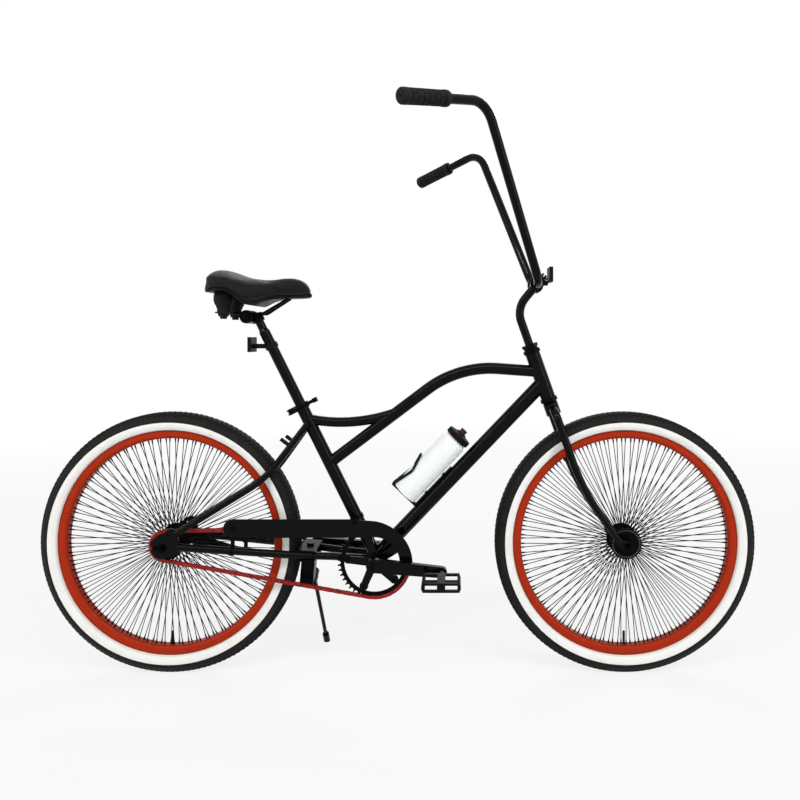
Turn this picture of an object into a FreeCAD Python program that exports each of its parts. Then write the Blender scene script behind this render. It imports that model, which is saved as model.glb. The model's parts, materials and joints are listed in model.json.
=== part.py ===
import FreeCAD, Part
import math
import os
import Sketcher
from FreeCAD import Placement, Rotation, Vector

# Beach cruiser bicycle. X points forward, Y to the rider's left, Z up. The ground is Z = 0 and the
# origin lies midway between the two places where the tyres stand. The chain is on the right, at -Y.

doc = FreeCAD.newDocument("beach_cruiser")
sheet = doc.addObject("Spreadsheet::Sheet", "sizes")

# Driving dimensions: millimetres, degrees for names ending in angle, plain numbers for counts and shares.
SIZES = {
    # stance and common gaps
    "wheel_base": 1157,
    "running_gap": 0.3,
    "seat_gap": 0.1,
    "overrun": 3,
    # rim, tyre and tube
    "rim_radius": 285,
    "rim_depth": 21,
    "rim_width": 32,
    "rim_wall": 2,
    "rim_bed_width": 18,
    "rim_shoulder_depth": 13,
    "rim_corner_radius": 12,
    "tyre_height": 46,
    "tyre_width": 54,
    "tyre_wall": 3,
    "tread_flat_width": 26,
    "tread_width": 39,
    "bead_depth": 5,
    "bead_thickness": 3,
    "rim_lip_gap": 0.6,
    "white_band_start": 2.5,
    "white_band_height": 18.5,
    "white_band_depth": 1,
    "tube_wall": 1.2,
    "tube_gap": 1,
    "tube_slack": 4,
    "valve_radius": 3.2,
    "valve_reach": 33,
    # hubs and spokes
    "spokes_per_wheel": 144,
    "spoke_radius": 1,
    "spoke_flange_gap": 1.3,
    "spoke_seat_outer": 4.6,
    "spoke_seat_inner": 1.9,
    "flange_radius": 39,
    "flange_thickness": 3,
    "flange_edge": 5,
    "flange_offset": 26,
    "hub_half_length": 33,
    "hub_collar_radius": 19,
    "front_barrel_radius": 15,
    "rear_barrel_radius": 27,
    "hub_bore_radius": 9,
    "bearing_radius": 13,
    "bearing_width": 7,
    "cone_radius": 7.8,
    "cone_shoulder_radius": 10,
    "cone_shoulder_gap": 2.5,
    "axle_radius": 4.75,
    "axle_stub": 6,
    "axle_nut_flats": 15,
    "axle_nut_width": 9,
    "washer_radius": 11,
    "washer_thickness": 1.6,
    # fork, headset, steering
    "head_lean_angle": 19.5,
    "fork_rake": 60,
    "fork_spread": 100,
    "dropout_thickness": 5,
    "dropout_radius": 14,
    "dropout_tongue": 34,
    "blade_radius": 11,
    "blade_tip_radius": 8,
    "blade_tyre_gap": 8,
    "blade_end_gap": 22,
    "blade_bend_distance": 172,
    "blade_bend_radius": 560,
    "blade_tip_offset": 12,
    "crown_distance": 366,
    "crown_height": 30,
    "crown_radius": 19,
    "crown_bend_radius": 27,
    "blade_drop": 13,
    "steerer_radius": 12.7,
    "steerer_wall": 1.4,
    "head_tube_radius": 19,
    "head_tube_wall": 3.4,
    "head_tube_length": 122,
    "cup_flange": 3,
    "cup_depth": 12,
    "cup_height": 9,
    "race_height": 5,
    "top_cone_height": 6,
    "lock_nut_height": 8,
    "lock_nut_radius": 18,
    "quill_depth": 75,
    "stem_radius": 11,
    "stem_rise": 97,
    "stem_bend_radius": 62,
    "wedge_length": 26,
    "bolt_radius": 4,
    "bolt_head_radius": 6.5,
    "bolt_head_height": 6,
    "clamp_radius": 17,
    "clamp_width": 44,
    "clamp_ear_length": 17,
    "clamp_ear_thickness": 14,
    "bar_clamp_forward": 67,
    "bar_clamp_distance": 693,
    "bar_radius": 11.1,
    "bar_wall": 2,
    "bar_flat_half": 70,
    "bar_low_bend_radius": 55,
    "bar_rise": 397.6,
    "bar_back": 138,
    "bar_top_half": 215,
    "bar_top_bend_radius": 60,
    "grip_back": 179,
    "grip_drop": 48.6,
    "grip_half": 386,
    "grip_radius": 17,
    "grip_length": 130,
    "grip_flange_radius": 18.5,
    "grip_flange_width": 5,
    "grip_end_wall": 4,
    # frame tubes
    "seat_lean_angle": 26.5,
    "shell_height": 291.5,
    "shell_radius": 21,
    "shell_wall": 4,
    "shell_width": 68,
    "seat_tube_radius": 15.9,
    "seat_tube_length": 437,
    "tube_wall_thickness": 1.8,
    "top_tube_radius": 15,
    "top_tube_seat_distance": 268,
    "top_tube_head_distance": 482,
    "top_tube_bend_forward": 211,
    "top_tube_bend_height": 780,
    "top_tube_bend_share": 0.486,
    "down_tube_radius": 18.5,
    "down_tube_head_distance": 452,
    "brace_radius": 12.7,
    "brace_seat_distance": 394,
    "brace_sag": 16,
    "brace_end_share": 0.52,
    "stay_radius": 9.5,
    "seat_stay_radius": 8.5,
    "stay_wall": 1.5,
    "stay_tyre_gap": 8,
    "seat_stay_top_distance": 384,
    "seat_stay_top_half": 15,
    "seat_stay_bend_forward": 250,
    "seat_stay_bend_rise": 167.5,
    "seat_stay_bend_radius": 240,
    "seat_stay_end_forward": 33,
    "seat_stay_end_rise": 35,
    "chain_stay_shell_half": 21,
    "chain_stay_ring_half": 28,
    "chain_stay_ring_back": 104,
    "chain_stay_tyre_back": 200,
    "chain_stay_bend_radius": 140,
    "chain_stay_end_forward": 38,
    "chain_stay_end_rise": 2,
    "stay_end_half": 61.5,
    "rear_spread": 118,
    "plate_slot_gap": 0.4,
    "eyelet_radius": 2.6,
    "bridge_radius": 6,
    "bridge_share": 0.33,
    "boss_radius": 5,
    "boss_length": 22,
    "boss_share": 0.42,
    # drive
    "chain_pitch": 12.7,
    "chain_links": 114,
    "ring_teeth": 44,
    "sprocket_teeth": 18,
    "chain_line": 43,
    "roller_radius": 3.87,
    "roller_width": 3.3,
    "link_plate_thickness": 1,
    "link_plate_radius": 4.3,
    "link_gap": 0.15,
    "pin_radius": 1.7,
    "pin_end": 0.4,
    "tooth_thickness": 2.8,
    "tooth_height": 2.9,
    "tooth_tip_width": 1.7,
    "tooth_seat_gap": 0.55,
    "ring_inner_radius": 75,
    "ring_bolt_circle": 66,
    "ring_lug_radius": 11,
    "ring_bolt_radius": 4,
    "driver_radius": 20,
    "driver_inner_gap": 1,
    "spindle_radius": 8.5,
    "crank_length": 170,
    "crank_angle": 5.5,
    "crank_thickness": 14,
    "crank_inner_half": 64,
    "crank_boss_radius": 17,
    "crank_eye_radius": 13,
    "spider_hub_radius": 22,
    "spider_thickness": 4,
    "spider_arm_radius": 9,
    "spider_arms": 5,
    "bracket_bearing_radius": 14,
    "bracket_bearing_width": 8,
    "bracket_cup_flange": 4,
    "crank_bolt_radius": 8,
    "crank_bolt_height": 4,
    "pedal_axle_radius": 6,
    "pedal_axle_flange": 9,
    "pedal_gap": 32,
    "pedal_length": 92,
    "pedal_width": 70,
    "pedal_height": 22,
    "pedal_frame": 8,
    "pedal_barrel_radius": 9.5,
    "pedal_window_height": 11,
    "pedal_corner_radius": 10,
    # chain guard
    "guard_half": 51.5,
    "guard_thickness": 1.6,
    "guard_radius": 96,
    "guard_inner_radius": 64,
    "guard_corner_angle": 45,
    "guard_crest_height": 104,
    "guard_crest_radius": 110,
    "guard_back": 375,
    "guard_bar_top": 108.5,
    "guard_bar_height": 46,
    "guard_rear_radius": 23,
    "guard_end_drop": 8,
    "guard_bolt_radius": 2.5,
    "guard_bolt_head": 5.5,
    "guard_bolt_head_height": 3,
    "strap_width": 10,
    "strap_thickness": 2,
    "guard_seat_strap_distance": 112,
    "guard_tab_radius": 4.4,
    # coaster brake arm
    "arm_half": 46,
    "arm_thickness": 4,
    "arm_length": 178,
    "arm_root_radius": 15,
    "arm_end_radius": 8,
    "arm_drop_angle": 14,
    "arm_bolt_radius": 2.5,
    # kickstand
    "stand_back": 170,
    "stand_plate_length": 44,
    "stand_plate_width": 96,
    "stand_plate_thickness": 5,
    "stand_block_length": 34,
    "stand_block_width": 30,
    "stand_block_height": 74,
    "stand_boss_radius": 14,
    "stand_boss_length": 30,
    "stand_pivot_half": 46,
    "stand_pivot_height": 232,
    "stand_tilt_angle": 21,
    "stand_hub_length": 20,
    "stand_hub_radius": 13,
    "stand_pin_radius": 5,
    "stand_pin_head_radius": 9,
    "stand_pin_head_height": 3,
    "stand_bolt_radius": 5,
    "stand_bolt_head_radius": 9,
    "stand_bolt_length": 42,
    "stand_leg_radius": 5,
    "stand_foot_half": 169,
    "stand_foot_forward": 12,
    "stand_foot_radius": 9,
    "stand_foot_length": 30,
    "stand_foot_overrun": 8,
    # seat post, collar and lever
    "post_radius": 13.6,
    "post_wall": 2,
    "post_length": 366,
    "post_insert": 110,
    "post_neck_radius": 11,
    "post_neck_length": 42,
    "post_taper": 8,
    "collar_wall": 3.5,
    "collar_height": 16,
    "collar_ear_length": 14,
    "collar_ear_width": 9,
    "collar_slit": 3,
    "skewer_radius": 2.5,
    "skewer_nut_radius": 7,
    "skewer_nut_width": 7,
    "cam_radius": 7,
    "cam_half_gap": 3.2,
    "cam_thickness": 4,
    "cam_pin_radius": 2.8,
    "lever_gap": 1.5,
    "lever_start": 4,
    "lever_length": 66,
    "lever_radius": 4.5,
    "lever_tip_radius": 6,
    # saddle
    "saddle_back": 166,
    "saddle_length": 258,
    "saddle_half_width": 104,
    "saddle_crown_height": 1027,
    "saddle_height": 93,
    "saddle_base_thickness": 7,
    "saddle_base_inset": 5,
    "saddle_clamp_back": 16,
    "saddle_clamp_drop": 7,
    "saddle_clamp_radius": 17,
    "saddle_clamp_half": 29,
    "saddle_clamp_bolt_radius": 4,
    "saddle_clamp_bolt_head": 8,
    "rail_radius": 3.5,
    "rail_half": 21,
    "rail_rise": 8,
    "rail_flat_back": 26,
    "rail_flat_forward": 40,
    "rail_bend_radius": 18,
    "rail_nose_forward": 103,
    "rail_nose_half": 11,
    "rail_nose_rise": 39,
    "elastomer_radius": 21,
    "elastomer_half": 46,
    "elastomer_back": 51,
    "elastomer_cup_drop": 4,
    "elastomer_cup_height": 12,
    "elastomer_cup_radius": 24,
    "elastomer_nut_radius": 9,
    "elastomer_nut_height": 6,
    # reflectors
    "reflector_height": 38,
    "reflector_width": 52,
    "reflector_depth": 9,
    "reflector_shell": 2,
    "reflector_strap": 3,
    "reflector_strap_width": 12,
    "rear_reflector_distance": 602,
    "rear_reflector_back": 50,
    "rear_reflector_rise": 4,
    "front_reflector_forward": 36,
    "front_reflector_rise": 26,
    "front_reflector_side": 16,
    # bottle and cage
    "bottle_radius": 34,
    "bottle_length": 190,
    "bottle_wall": 1.5,
    "bottle_neck_radius": 27,
    "bottle_neck_length": 9,
    "bottle_shoulder": 12,
    "bottle_start_share": 0.346,
    "bottle_offset": 60,
    "cap_radius": 33,
    "cap_height": 15,
    "cap_wall": 2,
    "spout_radius": 6,
    "spout_wall": 1.6,
    "spout_length": 10,
    "nozzle_radius": 9,
    "nozzle_length": 16,
    "nozzle_bore": 2.5,
    "cage_rod_radius": 3,
    "cage_loop_angle": 12,
    "cage_knee_angle": 45,
    "cage_gap": 1,
    "cage_plate_width": 18,
    "cage_plate_thickness": 3,
    "cage_plate_length": 136,
    "cage_bolt_spacing": 64,
    "cage_bolt_start": 38,
    "cage_bolt_radius": 2.5,
    "cage_bolt_head": 4.5,
    "cage_bolt_head_height": 2.5,
    "cage_knee_rise": 59,
    "cage_knee_radius": 14,
    "cage_loop_rise": 100,
    "cage_loop_radius": 8,
}


class Size:
    """A length from the sheet: its number, and the expression that ties a dimension to it."""

    def __init__(self, number, text):
        self.number = float(number)
        self.text = text

    def __float__(self):
        return self.number

    def __add__(self, other):
        return Size(self.number + float(other), f"({self.text} + {text_of(other)})")

    def __sub__(self, other):
        return Size(self.number - float(other), f"({self.text} - {text_of(other)})")

    def __rsub__(self, other):
        return Size(float(other) - self.number, f"({text_of(other)} - {self.text})")

    def __mul__(self, other):
        return Size(self.number * float(other), f"({self.text} * {text_of(other)})")

    def __truediv__(self, other):
        return Size(self.number / float(other), f"({self.text} / {text_of(other)})")

    def __neg__(self):
        return Size(-self.number, f"(0 - {self.text})")

    __radd__ = __add__
    __rmul__ = __mul__

    def root(self):
        return Size(math.sqrt(self.number), f"sqrt({self.text})")


def text_of(value):
    """The expression of a Size, or a plain number as it is written in one."""
    return value.text if isinstance(value, Size) else repr(float(value))


class Sizes:
    """The sheet's cells by name, as Size values."""


size = Sizes()
for row, (alias, number) in enumerate(SIZES.items(), 1):
    sheet.set(f"A{row}", alias)
    sheet.set(f"B{row}", str(number))
    sheet.setAlias(f"B{row}", alias)
doc.recompute()
for alias in SIZES:
    setattr(size, alias, Size(sheet.get(alias), f"sizes.{alias}"))

FORWARD, LEFT, UP = Vector(1, 0, 0), Vector(0, 1, 0), Vector(0, 0, 1)
UPRIGHT = Rotation(FORWARD, 90)  # turns a plate drawn flat so that its thickness runs towards the right side
nodes = []


def bind(item, **sizes):
    """Tie properties of a document object to the sheet."""
    for name, value in sizes.items():
        item.setExpression(name, text_of(value))
    return item


def node(item, label):
    """Name an object as a sub-part of the bicycle, to be written out."""
    item.Label = label
    nodes.append(item)
    return item


def spot(x, y, z):
    return Vector(float(x), float(y), float(z))


def aimed(origin, axis):
    """A placement at a point whose own Z runs along the axis."""
    return Placement(origin, Rotation(UP, axis))


def cylinder(name, radius, length, origin, axis):
    item = bind(doc.addObject("Part::Cylinder", name), Radius=radius, Height=length)
    item.Placement = aimed(origin, axis)
    return item


def box(name, length, width, height, placement):
    """A block centred in its own X and Y, standing on its own Z = 0."""
    item = bind(doc.addObject("Part::Box", name), Length=length, Width=width, Height=height)
    middle = Placement(spot(-length / 2, -width / 2, 0), Rotation())
    item.Placement = placement.multiply(middle)
    return item


def cut(name, base, *tools):
    tool = tools[0] if len(tools) == 1 else together(f"{name}_tools", *tools)
    item = doc.addObject("Part::Cut", name)
    item.Base, item.Tool = base, tool
    return item


def fused(name, *shapes):
    item = doc.addObject("Part::MultiFuse", name)
    item.Shapes = list(shapes)
    return item


def together(name, *shapes):
    """Separate solids kept in one group."""
    item = doc.addObject("Part::Compound", name)
    item.Links = list(shapes)
    return item


def mirrored(name, source):
    """The same piece on the other side of the bicycle."""
    item = doc.addObject("Part::Mirroring", name)
    item.Source, item.Normal = source, LEFT
    return item


def pair(name, source):
    return together(name, source, mirrored(f"{name}_other_side", source))


def solid(name, shape):
    item = doc.addObject("Part::Feature", name)
    item.Shape = shape
    return item


def origin_item(body, role):
    return next(item for item in body.Origin.OriginFeatures if item.Role == role)


def arc_between(start, end, bend):
    """The arc of under half a circle from start to end: it turns left for a positive bend radius."""
    chord = end - start
    rise = math.sqrt(bend * bend - chord.Length ** 2 / 4)
    left = Vector(-chord.y, chord.x, 0).normalize()
    centre = (start + end) / 2 + left * math.copysign(rise, bend)
    first = math.atan2(start.y - centre.y, start.x - centre.x)
    last = math.atan2(end.y - centre.y, end.x - centre.x)
    circle = Part.Circle(centre, UP, abs(bend))
    return Part.ArcOfCircle(circle, first, last) if bend > 0 else Part.ArcOfCircle(circle, last, first)


def fix(sketch, edge, point, x, y):
    """Tie a sketch point's two coordinates to the sheet."""
    for kind, value in (("DistanceX", x), ("DistanceY", y)):
        place = sketch.addConstraint(Sketcher.Constraint(kind, -1, 1, edge, point, float(value)))
        if isinstance(value, Size):
            sketch.setExpression(f"Constraints[{place}]", value.text)


def fix_radius(sketch, edge, radius):
    place = sketch.addConstraint(Sketcher.Constraint("Radius", edge, abs(float(radius))))
    sketch.setExpression(f"Constraints[{place}]", text_of(radius if float(radius) > 0 else -radius))


def outline(body, plane, points, holes=()):
    """A closed sketch of points (x, y), or (x, y, bend) where an arc of that radius leads to the next."""
    sketch = body.newObject("Sketcher::SketchObject", f"{body.Name}_outline")
    sketch.AttachmentSupport = (origin_item(body, plane), [""])
    sketch.MapMode = "FlatFace"
    ends = [spot(point[0], point[1], 0) for point in points]
    first_last = []
    for number, point in enumerate(points):
        start, end = ends[number], ends[(number + 1) % len(points)]
        if len(point) == 3:
            sketch.addGeometry(arc_between(start, end, float(point[2])))
            fix_radius(sketch, number, point[2])
            first_last.append((1, 2) if float(point[2]) > 0 else (2, 1))
        else:
            sketch.addGeometry(Part.LineSegment(start, end))
            first_last.append((1, 2))
    for number, point in enumerate(points):
        after = (number + 1) % len(points)
        joint = Sketcher.Constraint(
            "Coincident", number, first_last[number][1], after, first_last[after][0],
        )
        sketch.addConstraint(joint)
        fix(sketch, number, first_last[number][0], point[0], point[1])
    for x, y, radius in holes:
        edge = sketch.addGeometry(Part.Circle(spot(x, y, 0), UP, float(radius)))
        fix(sketch, edge, 3, x, y)
        fix_radius(sketch, edge, radius)
    return sketch


def turned(name, points, origin=Vector(), axis=UP):
    """A body turned about its own Z from an outline of (radius, distance along the axis)."""
    body = doc.addObject("PartDesign::Body", name)
    sketch = outline(body, "XZ_Plane", points)
    feature = body.newObject("PartDesign::Revolution", f"{name}_turn")
    feature.Profile, feature.ReferenceAxis, feature.Angle = sketch, (sketch, ["V_Axis"]), 360
    body.Placement = aimed(origin, axis)
    return body


def plate(name, points, thickness, placement, holes=()):
    """A body padded from a flat outline along its own Z."""
    body = doc.addObject("PartDesign::Body", name)
    feature = body.newObject("PartDesign::Pad", f"{name}_pad")
    feature.Profile = outline(body, "XY_Plane", points, holes)
    bind(feature, Length=thickness)
    body.Placement = placement
    return body


def link_outline(near_radius, far_radius, length):
    """Points of a bar with two round ends, the first about (0, 0) and the second about (length, 0)."""
    slope = (near_radius - far_radius) / length
    rise = (1 - slope * slope).root()
    low, high = near_radius * slope, length + far_radius * slope
    return [
        (low, -(near_radius * rise)),
        (high, -(far_radius * rise), far_radius),
        (length + far_radius, 0, far_radius),
        (high, far_radius * rise),
        (low, near_radius * rise, near_radius),
        (-near_radius, 0, near_radius),
    ]


def rounded_path(points, radii):
    """Straight runs joined by tangent arcs of the given radii."""
    edges, start = [], points[0]
    for corner, after, radius in zip(points[1:], points[2:], radii):
        before_way, after_way = (start - corner).normalize(), (after - corner).normalize()
        half_turn = (math.pi - before_way.getAngle(after_way)) / 2
        reach = float(radius) * math.tan(half_turn)
        inward = (before_way + after_way).normalize()
        middle = corner + inward * (float(radius) / math.cos(half_turn) - float(radius))
        first, last = corner + before_way * reach, corner + after_way * reach
        edges.append(Part.LineSegment(start, first).toShape())
        edges.append(Part.Arc(first, middle, last).toShape())
        start = last
    edges.append(Part.LineSegment(start, points[-1]).toShape())
    return Part.Wire(edges)


def swept(name, wire, radius, end_radius=None):
    """A round rod along a wire, tapering when an end radius is given."""
    path = solid(f"{name}_path", wire)
    sections = [bind(doc.addObject("Part::Circle", f"{name}_section"), Radius=radius)]
    edges = wire.OrderedEdges
    start, way = edges[0].valueAt(edges[0].FirstParameter), edges[0].tangentAt(edges[0].FirstParameter)
    sections[0].Placement = aimed(start, way)
    if end_radius is not None:
        sections.append(bind(doc.addObject("Part::Circle", f"{name}_end_section"), Radius=end_radius))
        end, way = edges[-1].valueAt(edges[-1].LastParameter), edges[-1].tangentAt(edges[-1].LastParameter)
        sections[1].Placement = aimed(end, way)
    item = doc.addObject("Part::Sweep", name)
    item.Sections, item.Solid = sections, True
    item.Spine = (path, [f"Edge{number + 1}" for number in range(len(wire.Edges))])
    return item


def hollow(name, outer, inner, *others):
    """A tube: an outer rod without its bore and without what it is mitred against."""
    return cut(name, outer, inner, *others)


def hex_nut(name, flats, thickness, bore, origin, axis):
    prism = doc.addObject("Part::Prism", f"{name}_hex")
    prism.Polygon = 6
    bind(prism, Circumradius=flats / math.sqrt(3), Height=thickness)
    prism.Placement = aimed(origin, axis)
    hole_start = origin - axis * float(size.overrun)
    return cut(name, prism, cylinder(f"{name}_hole", bore, thickness + 2 * size.overrun, hole_start, axis))


def ring(name, outer, inner, width, origin, axis):
    return turned(name, [(inner, 0), (outer, 0), (outer, width), (inner, width)], origin, axis)


def bolt(name, radius, length, head_radius, head_height, under_head, way):
    """A round-headed bolt: its head stands on the point under_head, its shank runs on along way."""
    points = [
        (0, -head_height), (head_radius, -head_height), (head_radius, 0), (radius, 0),
        (radius, length),
    ]
    return turned(name, points + [(0, length)], under_head, way)


# Main points of the bicycle
wheel_radius = size.rim_radius + size.tyre_height
rear_axle = spot(-size.wheel_base / 2, 0, wheel_radius)
front_axle = spot(size.wheel_base / 2, 0, wheel_radius)

pitch_radius = {
    name: size.chain_pitch / (2 * math.sin(math.pi / float(teeth)))
    for name, teeth in (("ring", size.ring_teeth), ("sprocket", size.sprocket_teeth))
}


def chain_count(distance):
    """Links of a taut chain round both toothed wheels at a centre distance."""
    big, small = float(pitch_radius["ring"]), float(pitch_radius["sprocket"])
    lean = math.asin((big - small) / distance)
    straight = 2 * distance * math.cos(lean) / float(size.chain_pitch)
    ring_wraps = (math.pi + 2 * lean) * float(size.ring_teeth)
    wraps = ring_wraps + (math.pi - 2 * lean) * float(size.sprocket_teeth)
    return straight + wraps / (2 * math.pi)


def chain_distance():
    """The centre distance at which the chain is taut, found by halving an interval."""
    short = float(pitch_radius["ring"] + pitch_radius["sprocket"])
    long = float(size.chain_links * size.chain_pitch) / 2
    while long - short > 1e-9 * long:
        middle = (short + long) / 2
        short, long = (middle, long) if chain_count(middle) < float(size.chain_links) else (short, middle)
    return (short + long) / 2


drive_distance = chain_distance()
shell_drop = float(wheel_radius - size.shell_height)
shell = rear_axle + spot(math.sqrt(drive_distance ** 2 - shell_drop ** 2), 0, -shell_drop)

head_lean = math.radians(float(size.head_lean_angle))
head_way = Vector(-math.sin(head_lean), 0, math.cos(head_lean))
head_normal = Vector(math.cos(head_lean), 0, math.sin(head_lean))
steering_foot = front_axle - head_normal * float(size.fork_rake)

seat_lean = math.radians(float(size.seat_lean_angle))
seat_way = Vector(-math.sin(seat_lean), 0, math.cos(seat_lean))
seat_normal = Vector(math.cos(seat_lean), 0, math.sin(seat_lean))


def on_steering(distance):
    return steering_foot + head_way * float(distance)


def on_seat(distance):
    return shell + seat_way * float(distance)


def across(point, half):
    """The point carried sideways, to the right for a negative half."""
    return point + LEFT * float(half)


# Frame tubes
head_start = size.crown_distance + size.crown_height + size.race_height + size.cup_height
head_outer = cylinder(
    "head_outer", size.head_tube_radius, size.head_tube_length, on_steering(head_start), head_way,
)
head_bore_radius = size.head_tube_radius - size.head_tube_wall
head_bore = cylinder(
    "head_bore", head_bore_radius, size.head_tube_length + 2 * size.overrun,
    on_steering(head_start - size.overrun), head_way,
)
node(hollow("head_tube", head_outer, head_bore), "head_tube")

shell_outer = cylinder(
    "shell_outer", size.shell_radius, size.shell_width, across(shell, size.shell_width / 2), -LEFT,
)
shell_bore_radius = size.shell_radius - size.shell_wall
shell_bore = cylinder(
    "shell_bore", shell_bore_radius, size.shell_width + 2 * size.overrun,
    across(shell, size.shell_width / 2 + size.overrun), -LEFT,
)
node(hollow("bottom_bracket_shell", shell_outer, shell_bore), "bottom_bracket_shell")

seat_outer = cylinder("seat_outer", size.seat_tube_radius, size.seat_tube_length, shell, seat_way)
seat_bore = cylinder(
    "seat_bore", size.post_radius + size.running_gap, size.seat_tube_length + size.overrun, shell, seat_way
)
node(hollow("seat_tube", seat_outer, seat_bore, shell_outer), "seat_tube")

top_low = on_seat(size.top_tube_seat_distance)
top_bend = spot(shell.x + float(size.top_tube_bend_forward), 0, size.top_tube_bend_height)
top_end = on_steering(size.top_tube_head_distance)
top_run = min((top_bend - top_low).Length, (top_end - top_bend).Length)
top_half_turn = (top_bend - top_low).getAngle(top_end - top_bend) / 2
top_bend_radius = top_run * float(size.top_tube_bend_share) / math.tan(top_half_turn)
top_path = rounded_path([top_low, top_bend, top_end], [top_bend_radius])
top_outer = swept("top_outer", top_path, size.top_tube_radius)
top_bore = swept("top_bore", top_path, size.top_tube_radius - size.tube_wall_thickness)
node(hollow("top_tube", top_outer, top_bore, seat_outer, head_outer), "top_tube")

down_end = on_steering(size.down_tube_head_distance)
down_way = (down_end - shell).normalize()
down_normal = Vector(-down_way.z, 0, down_way.x)
down_path = Part.Wire([Part.LineSegment(shell, down_end).toShape()])
down_outer = swept("down_outer", down_path, size.down_tube_radius)
down_bore = swept("down_bore", down_path, size.down_tube_radius - size.tube_wall_thickness)
node(
    hollow("down_tube", down_outer, down_bore, shell_outer, seat_outer, head_outer, top_outer),
    "down_tube",
)

brace_start = on_seat(size.brace_seat_distance)
brace_end = top_low + (top_bend - top_low) * float(size.brace_end_share)
brace_middle = (brace_start + brace_end) / 2 - UP * float(size.brace_sag)
brace_path = Part.Wire([Part.Arc(brace_start, brace_middle, brace_end).toShape()])
brace_outer = swept("brace_outer", brace_path, size.brace_radius)
brace_bore = swept("brace_bore", brace_path, size.brace_radius - size.tube_wall_thickness)
node(hollow("brace_tube", brace_outer, brace_bore, seat_outer, top_outer), "brace_tube")

# Rear stays and dropouts, drawn on the right side and mirrored
plate_half = size.rear_spread / 2
plate_place = Placement(across(rear_axle, -plate_half), UPRIGHT)
PLATE_SHARES = [
    (0, -1.9, 0), (3.1, -0.9, 1.2), (3.1, 0.9, 0), (2.7, 2.8, 1.2), (0.6, 2.85, 0),
    (-1.3, 1.8, 2.0), (-1.8, -0.9, 2.0),
]
plate_points = []
for along_share, up_share, bend_share in PLATE_SHARES:
    point = (size.dropout_radius * along_share, size.dropout_radius * up_share)
    plate_points.append(point + (size.dropout_radius * bend_share,) if bend_share else point)
EYELET_SHARES = [(-0.3, 1.8), (1.05, 2.3)]
eyelets = [(size.dropout_radius * x, size.dropout_radius * y, size.eyelet_radius) for x, y in EYELET_SHARES]
dropout_blank = plate("dropout_blank", plate_points, size.dropout_thickness, plate_place, eyelets)
slot_width = 2 * size.axle_radius + size.plate_slot_gap
slot_length = 3 * size.dropout_radius
slot_place = Placement(
    across(rear_axle, -plate_half + size.overrun) - FORWARD * float(slot_length / 2), UPRIGHT,
)
slot_depth = size.dropout_thickness + 2 * size.overrun
slot = box("dropout_slot", slot_length, slot_width, slot_depth, slot_place)
slot_end = cylinder(
    "dropout_slot_end", slot_width / 2, slot_depth, across(rear_axle, -plate_half + size.overrun), -LEFT
)
rear_dropout = cut("rear_dropout", dropout_blank, slot, slot_end)

tyre_half = size.tyre_width / 2
seat_stay_half = tyre_half + size.stay_tyre_gap + size.seat_stay_radius
seat_stay_top = across(on_seat(size.seat_stay_top_distance), -size.seat_stay_top_half)
seat_stay_bend = rear_axle + spot(size.seat_stay_bend_forward, -seat_stay_half, size.seat_stay_bend_rise)
seat_stay_end = rear_axle + spot(size.seat_stay_end_forward, -size.stay_end_half, size.seat_stay_end_rise)
seat_stay_path = rounded_path([seat_stay_top, seat_stay_bend, seat_stay_end], [size.seat_stay_bend_radius])
seat_stay_outer = swept("seat_stay_outer", seat_stay_path, size.seat_stay_radius)
seat_stay_bore = swept("seat_stay_bore", seat_stay_path, size.seat_stay_radius - size.stay_wall)
seat_stay = hollow("seat_stay", seat_stay_outer, seat_stay_bore, seat_outer, dropout_blank)
node(pair("seat_stays", seat_stay), "seat_stays")

chain_stay_end = rear_axle + spot(
    size.chain_stay_end_forward, -size.stay_end_half, size.chain_stay_end_rise,
)
chain_stay_start = across(shell, -size.chain_stay_shell_half)


def on_chain_stay(back, half):
    """A point of the right chain stay's line, seen from the side, carried out to a half width."""
    share = float(back) / (chain_stay_start.x - chain_stay_end.x)
    level = chain_stay_start + (chain_stay_end - chain_stay_start) * share
    return Vector(level.x, -float(half), level.z)


chain_stay_half = tyre_half + size.stay_tyre_gap + size.stay_radius
chain_stay_path = rounded_path(
    [
        chain_stay_start,
        on_chain_stay(size.chain_stay_ring_back, size.chain_stay_ring_half),
        on_chain_stay(size.chain_stay_tyre_back, chain_stay_half),
        chain_stay_end,
    ],
    [size.chain_stay_bend_radius, size.chain_stay_bend_radius],
)
chain_stay_outer = swept("chain_stay_outer", chain_stay_path, size.stay_radius)
chain_stay_bore = swept("chain_stay_bore", chain_stay_path, size.stay_radius - size.stay_wall)
chain_stay = hollow("chain_stay", chain_stay_outer, chain_stay_bore, shell_outer, dropout_blank)
node(pair("chain_stays", chain_stay), "chain_stays")

bridge_point = seat_stay_top + (seat_stay_bend - seat_stay_top) * float(size.bridge_share)
bridge_half = Size(abs(bridge_point.y), repr(abs(bridge_point.y)))
bridge_rod = cylinder("bridge_rod", size.bridge_radius, 2 * bridge_half, bridge_point, LEFT)
stay_bridge = cut("stay_bridge", bridge_rod, pair("bridge_ends", seat_stay_outer))
stay_way = (seat_stay_bend - seat_stay_top).normalize()
boss_way = Vector(stay_way.z, 0, -stay_way.x).normalize()
boss_start = seat_stay_top + (seat_stay_bend - seat_stay_top) * float(size.boss_share)
boss_rod = cylinder(
    "boss_rod", size.boss_radius, size.seat_stay_radius + size.boss_length, boss_start, boss_way,
)
brake_boss = cut("brake_boss", boss_rod, seat_stay_outer)
node(
    together(
        "rear_fittings", pair("dropout_pair", rear_dropout), stay_bridge, brake_boss,
        mirrored("left_boss", brake_boss),
    ),
    "rear_dropouts",
)

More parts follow.
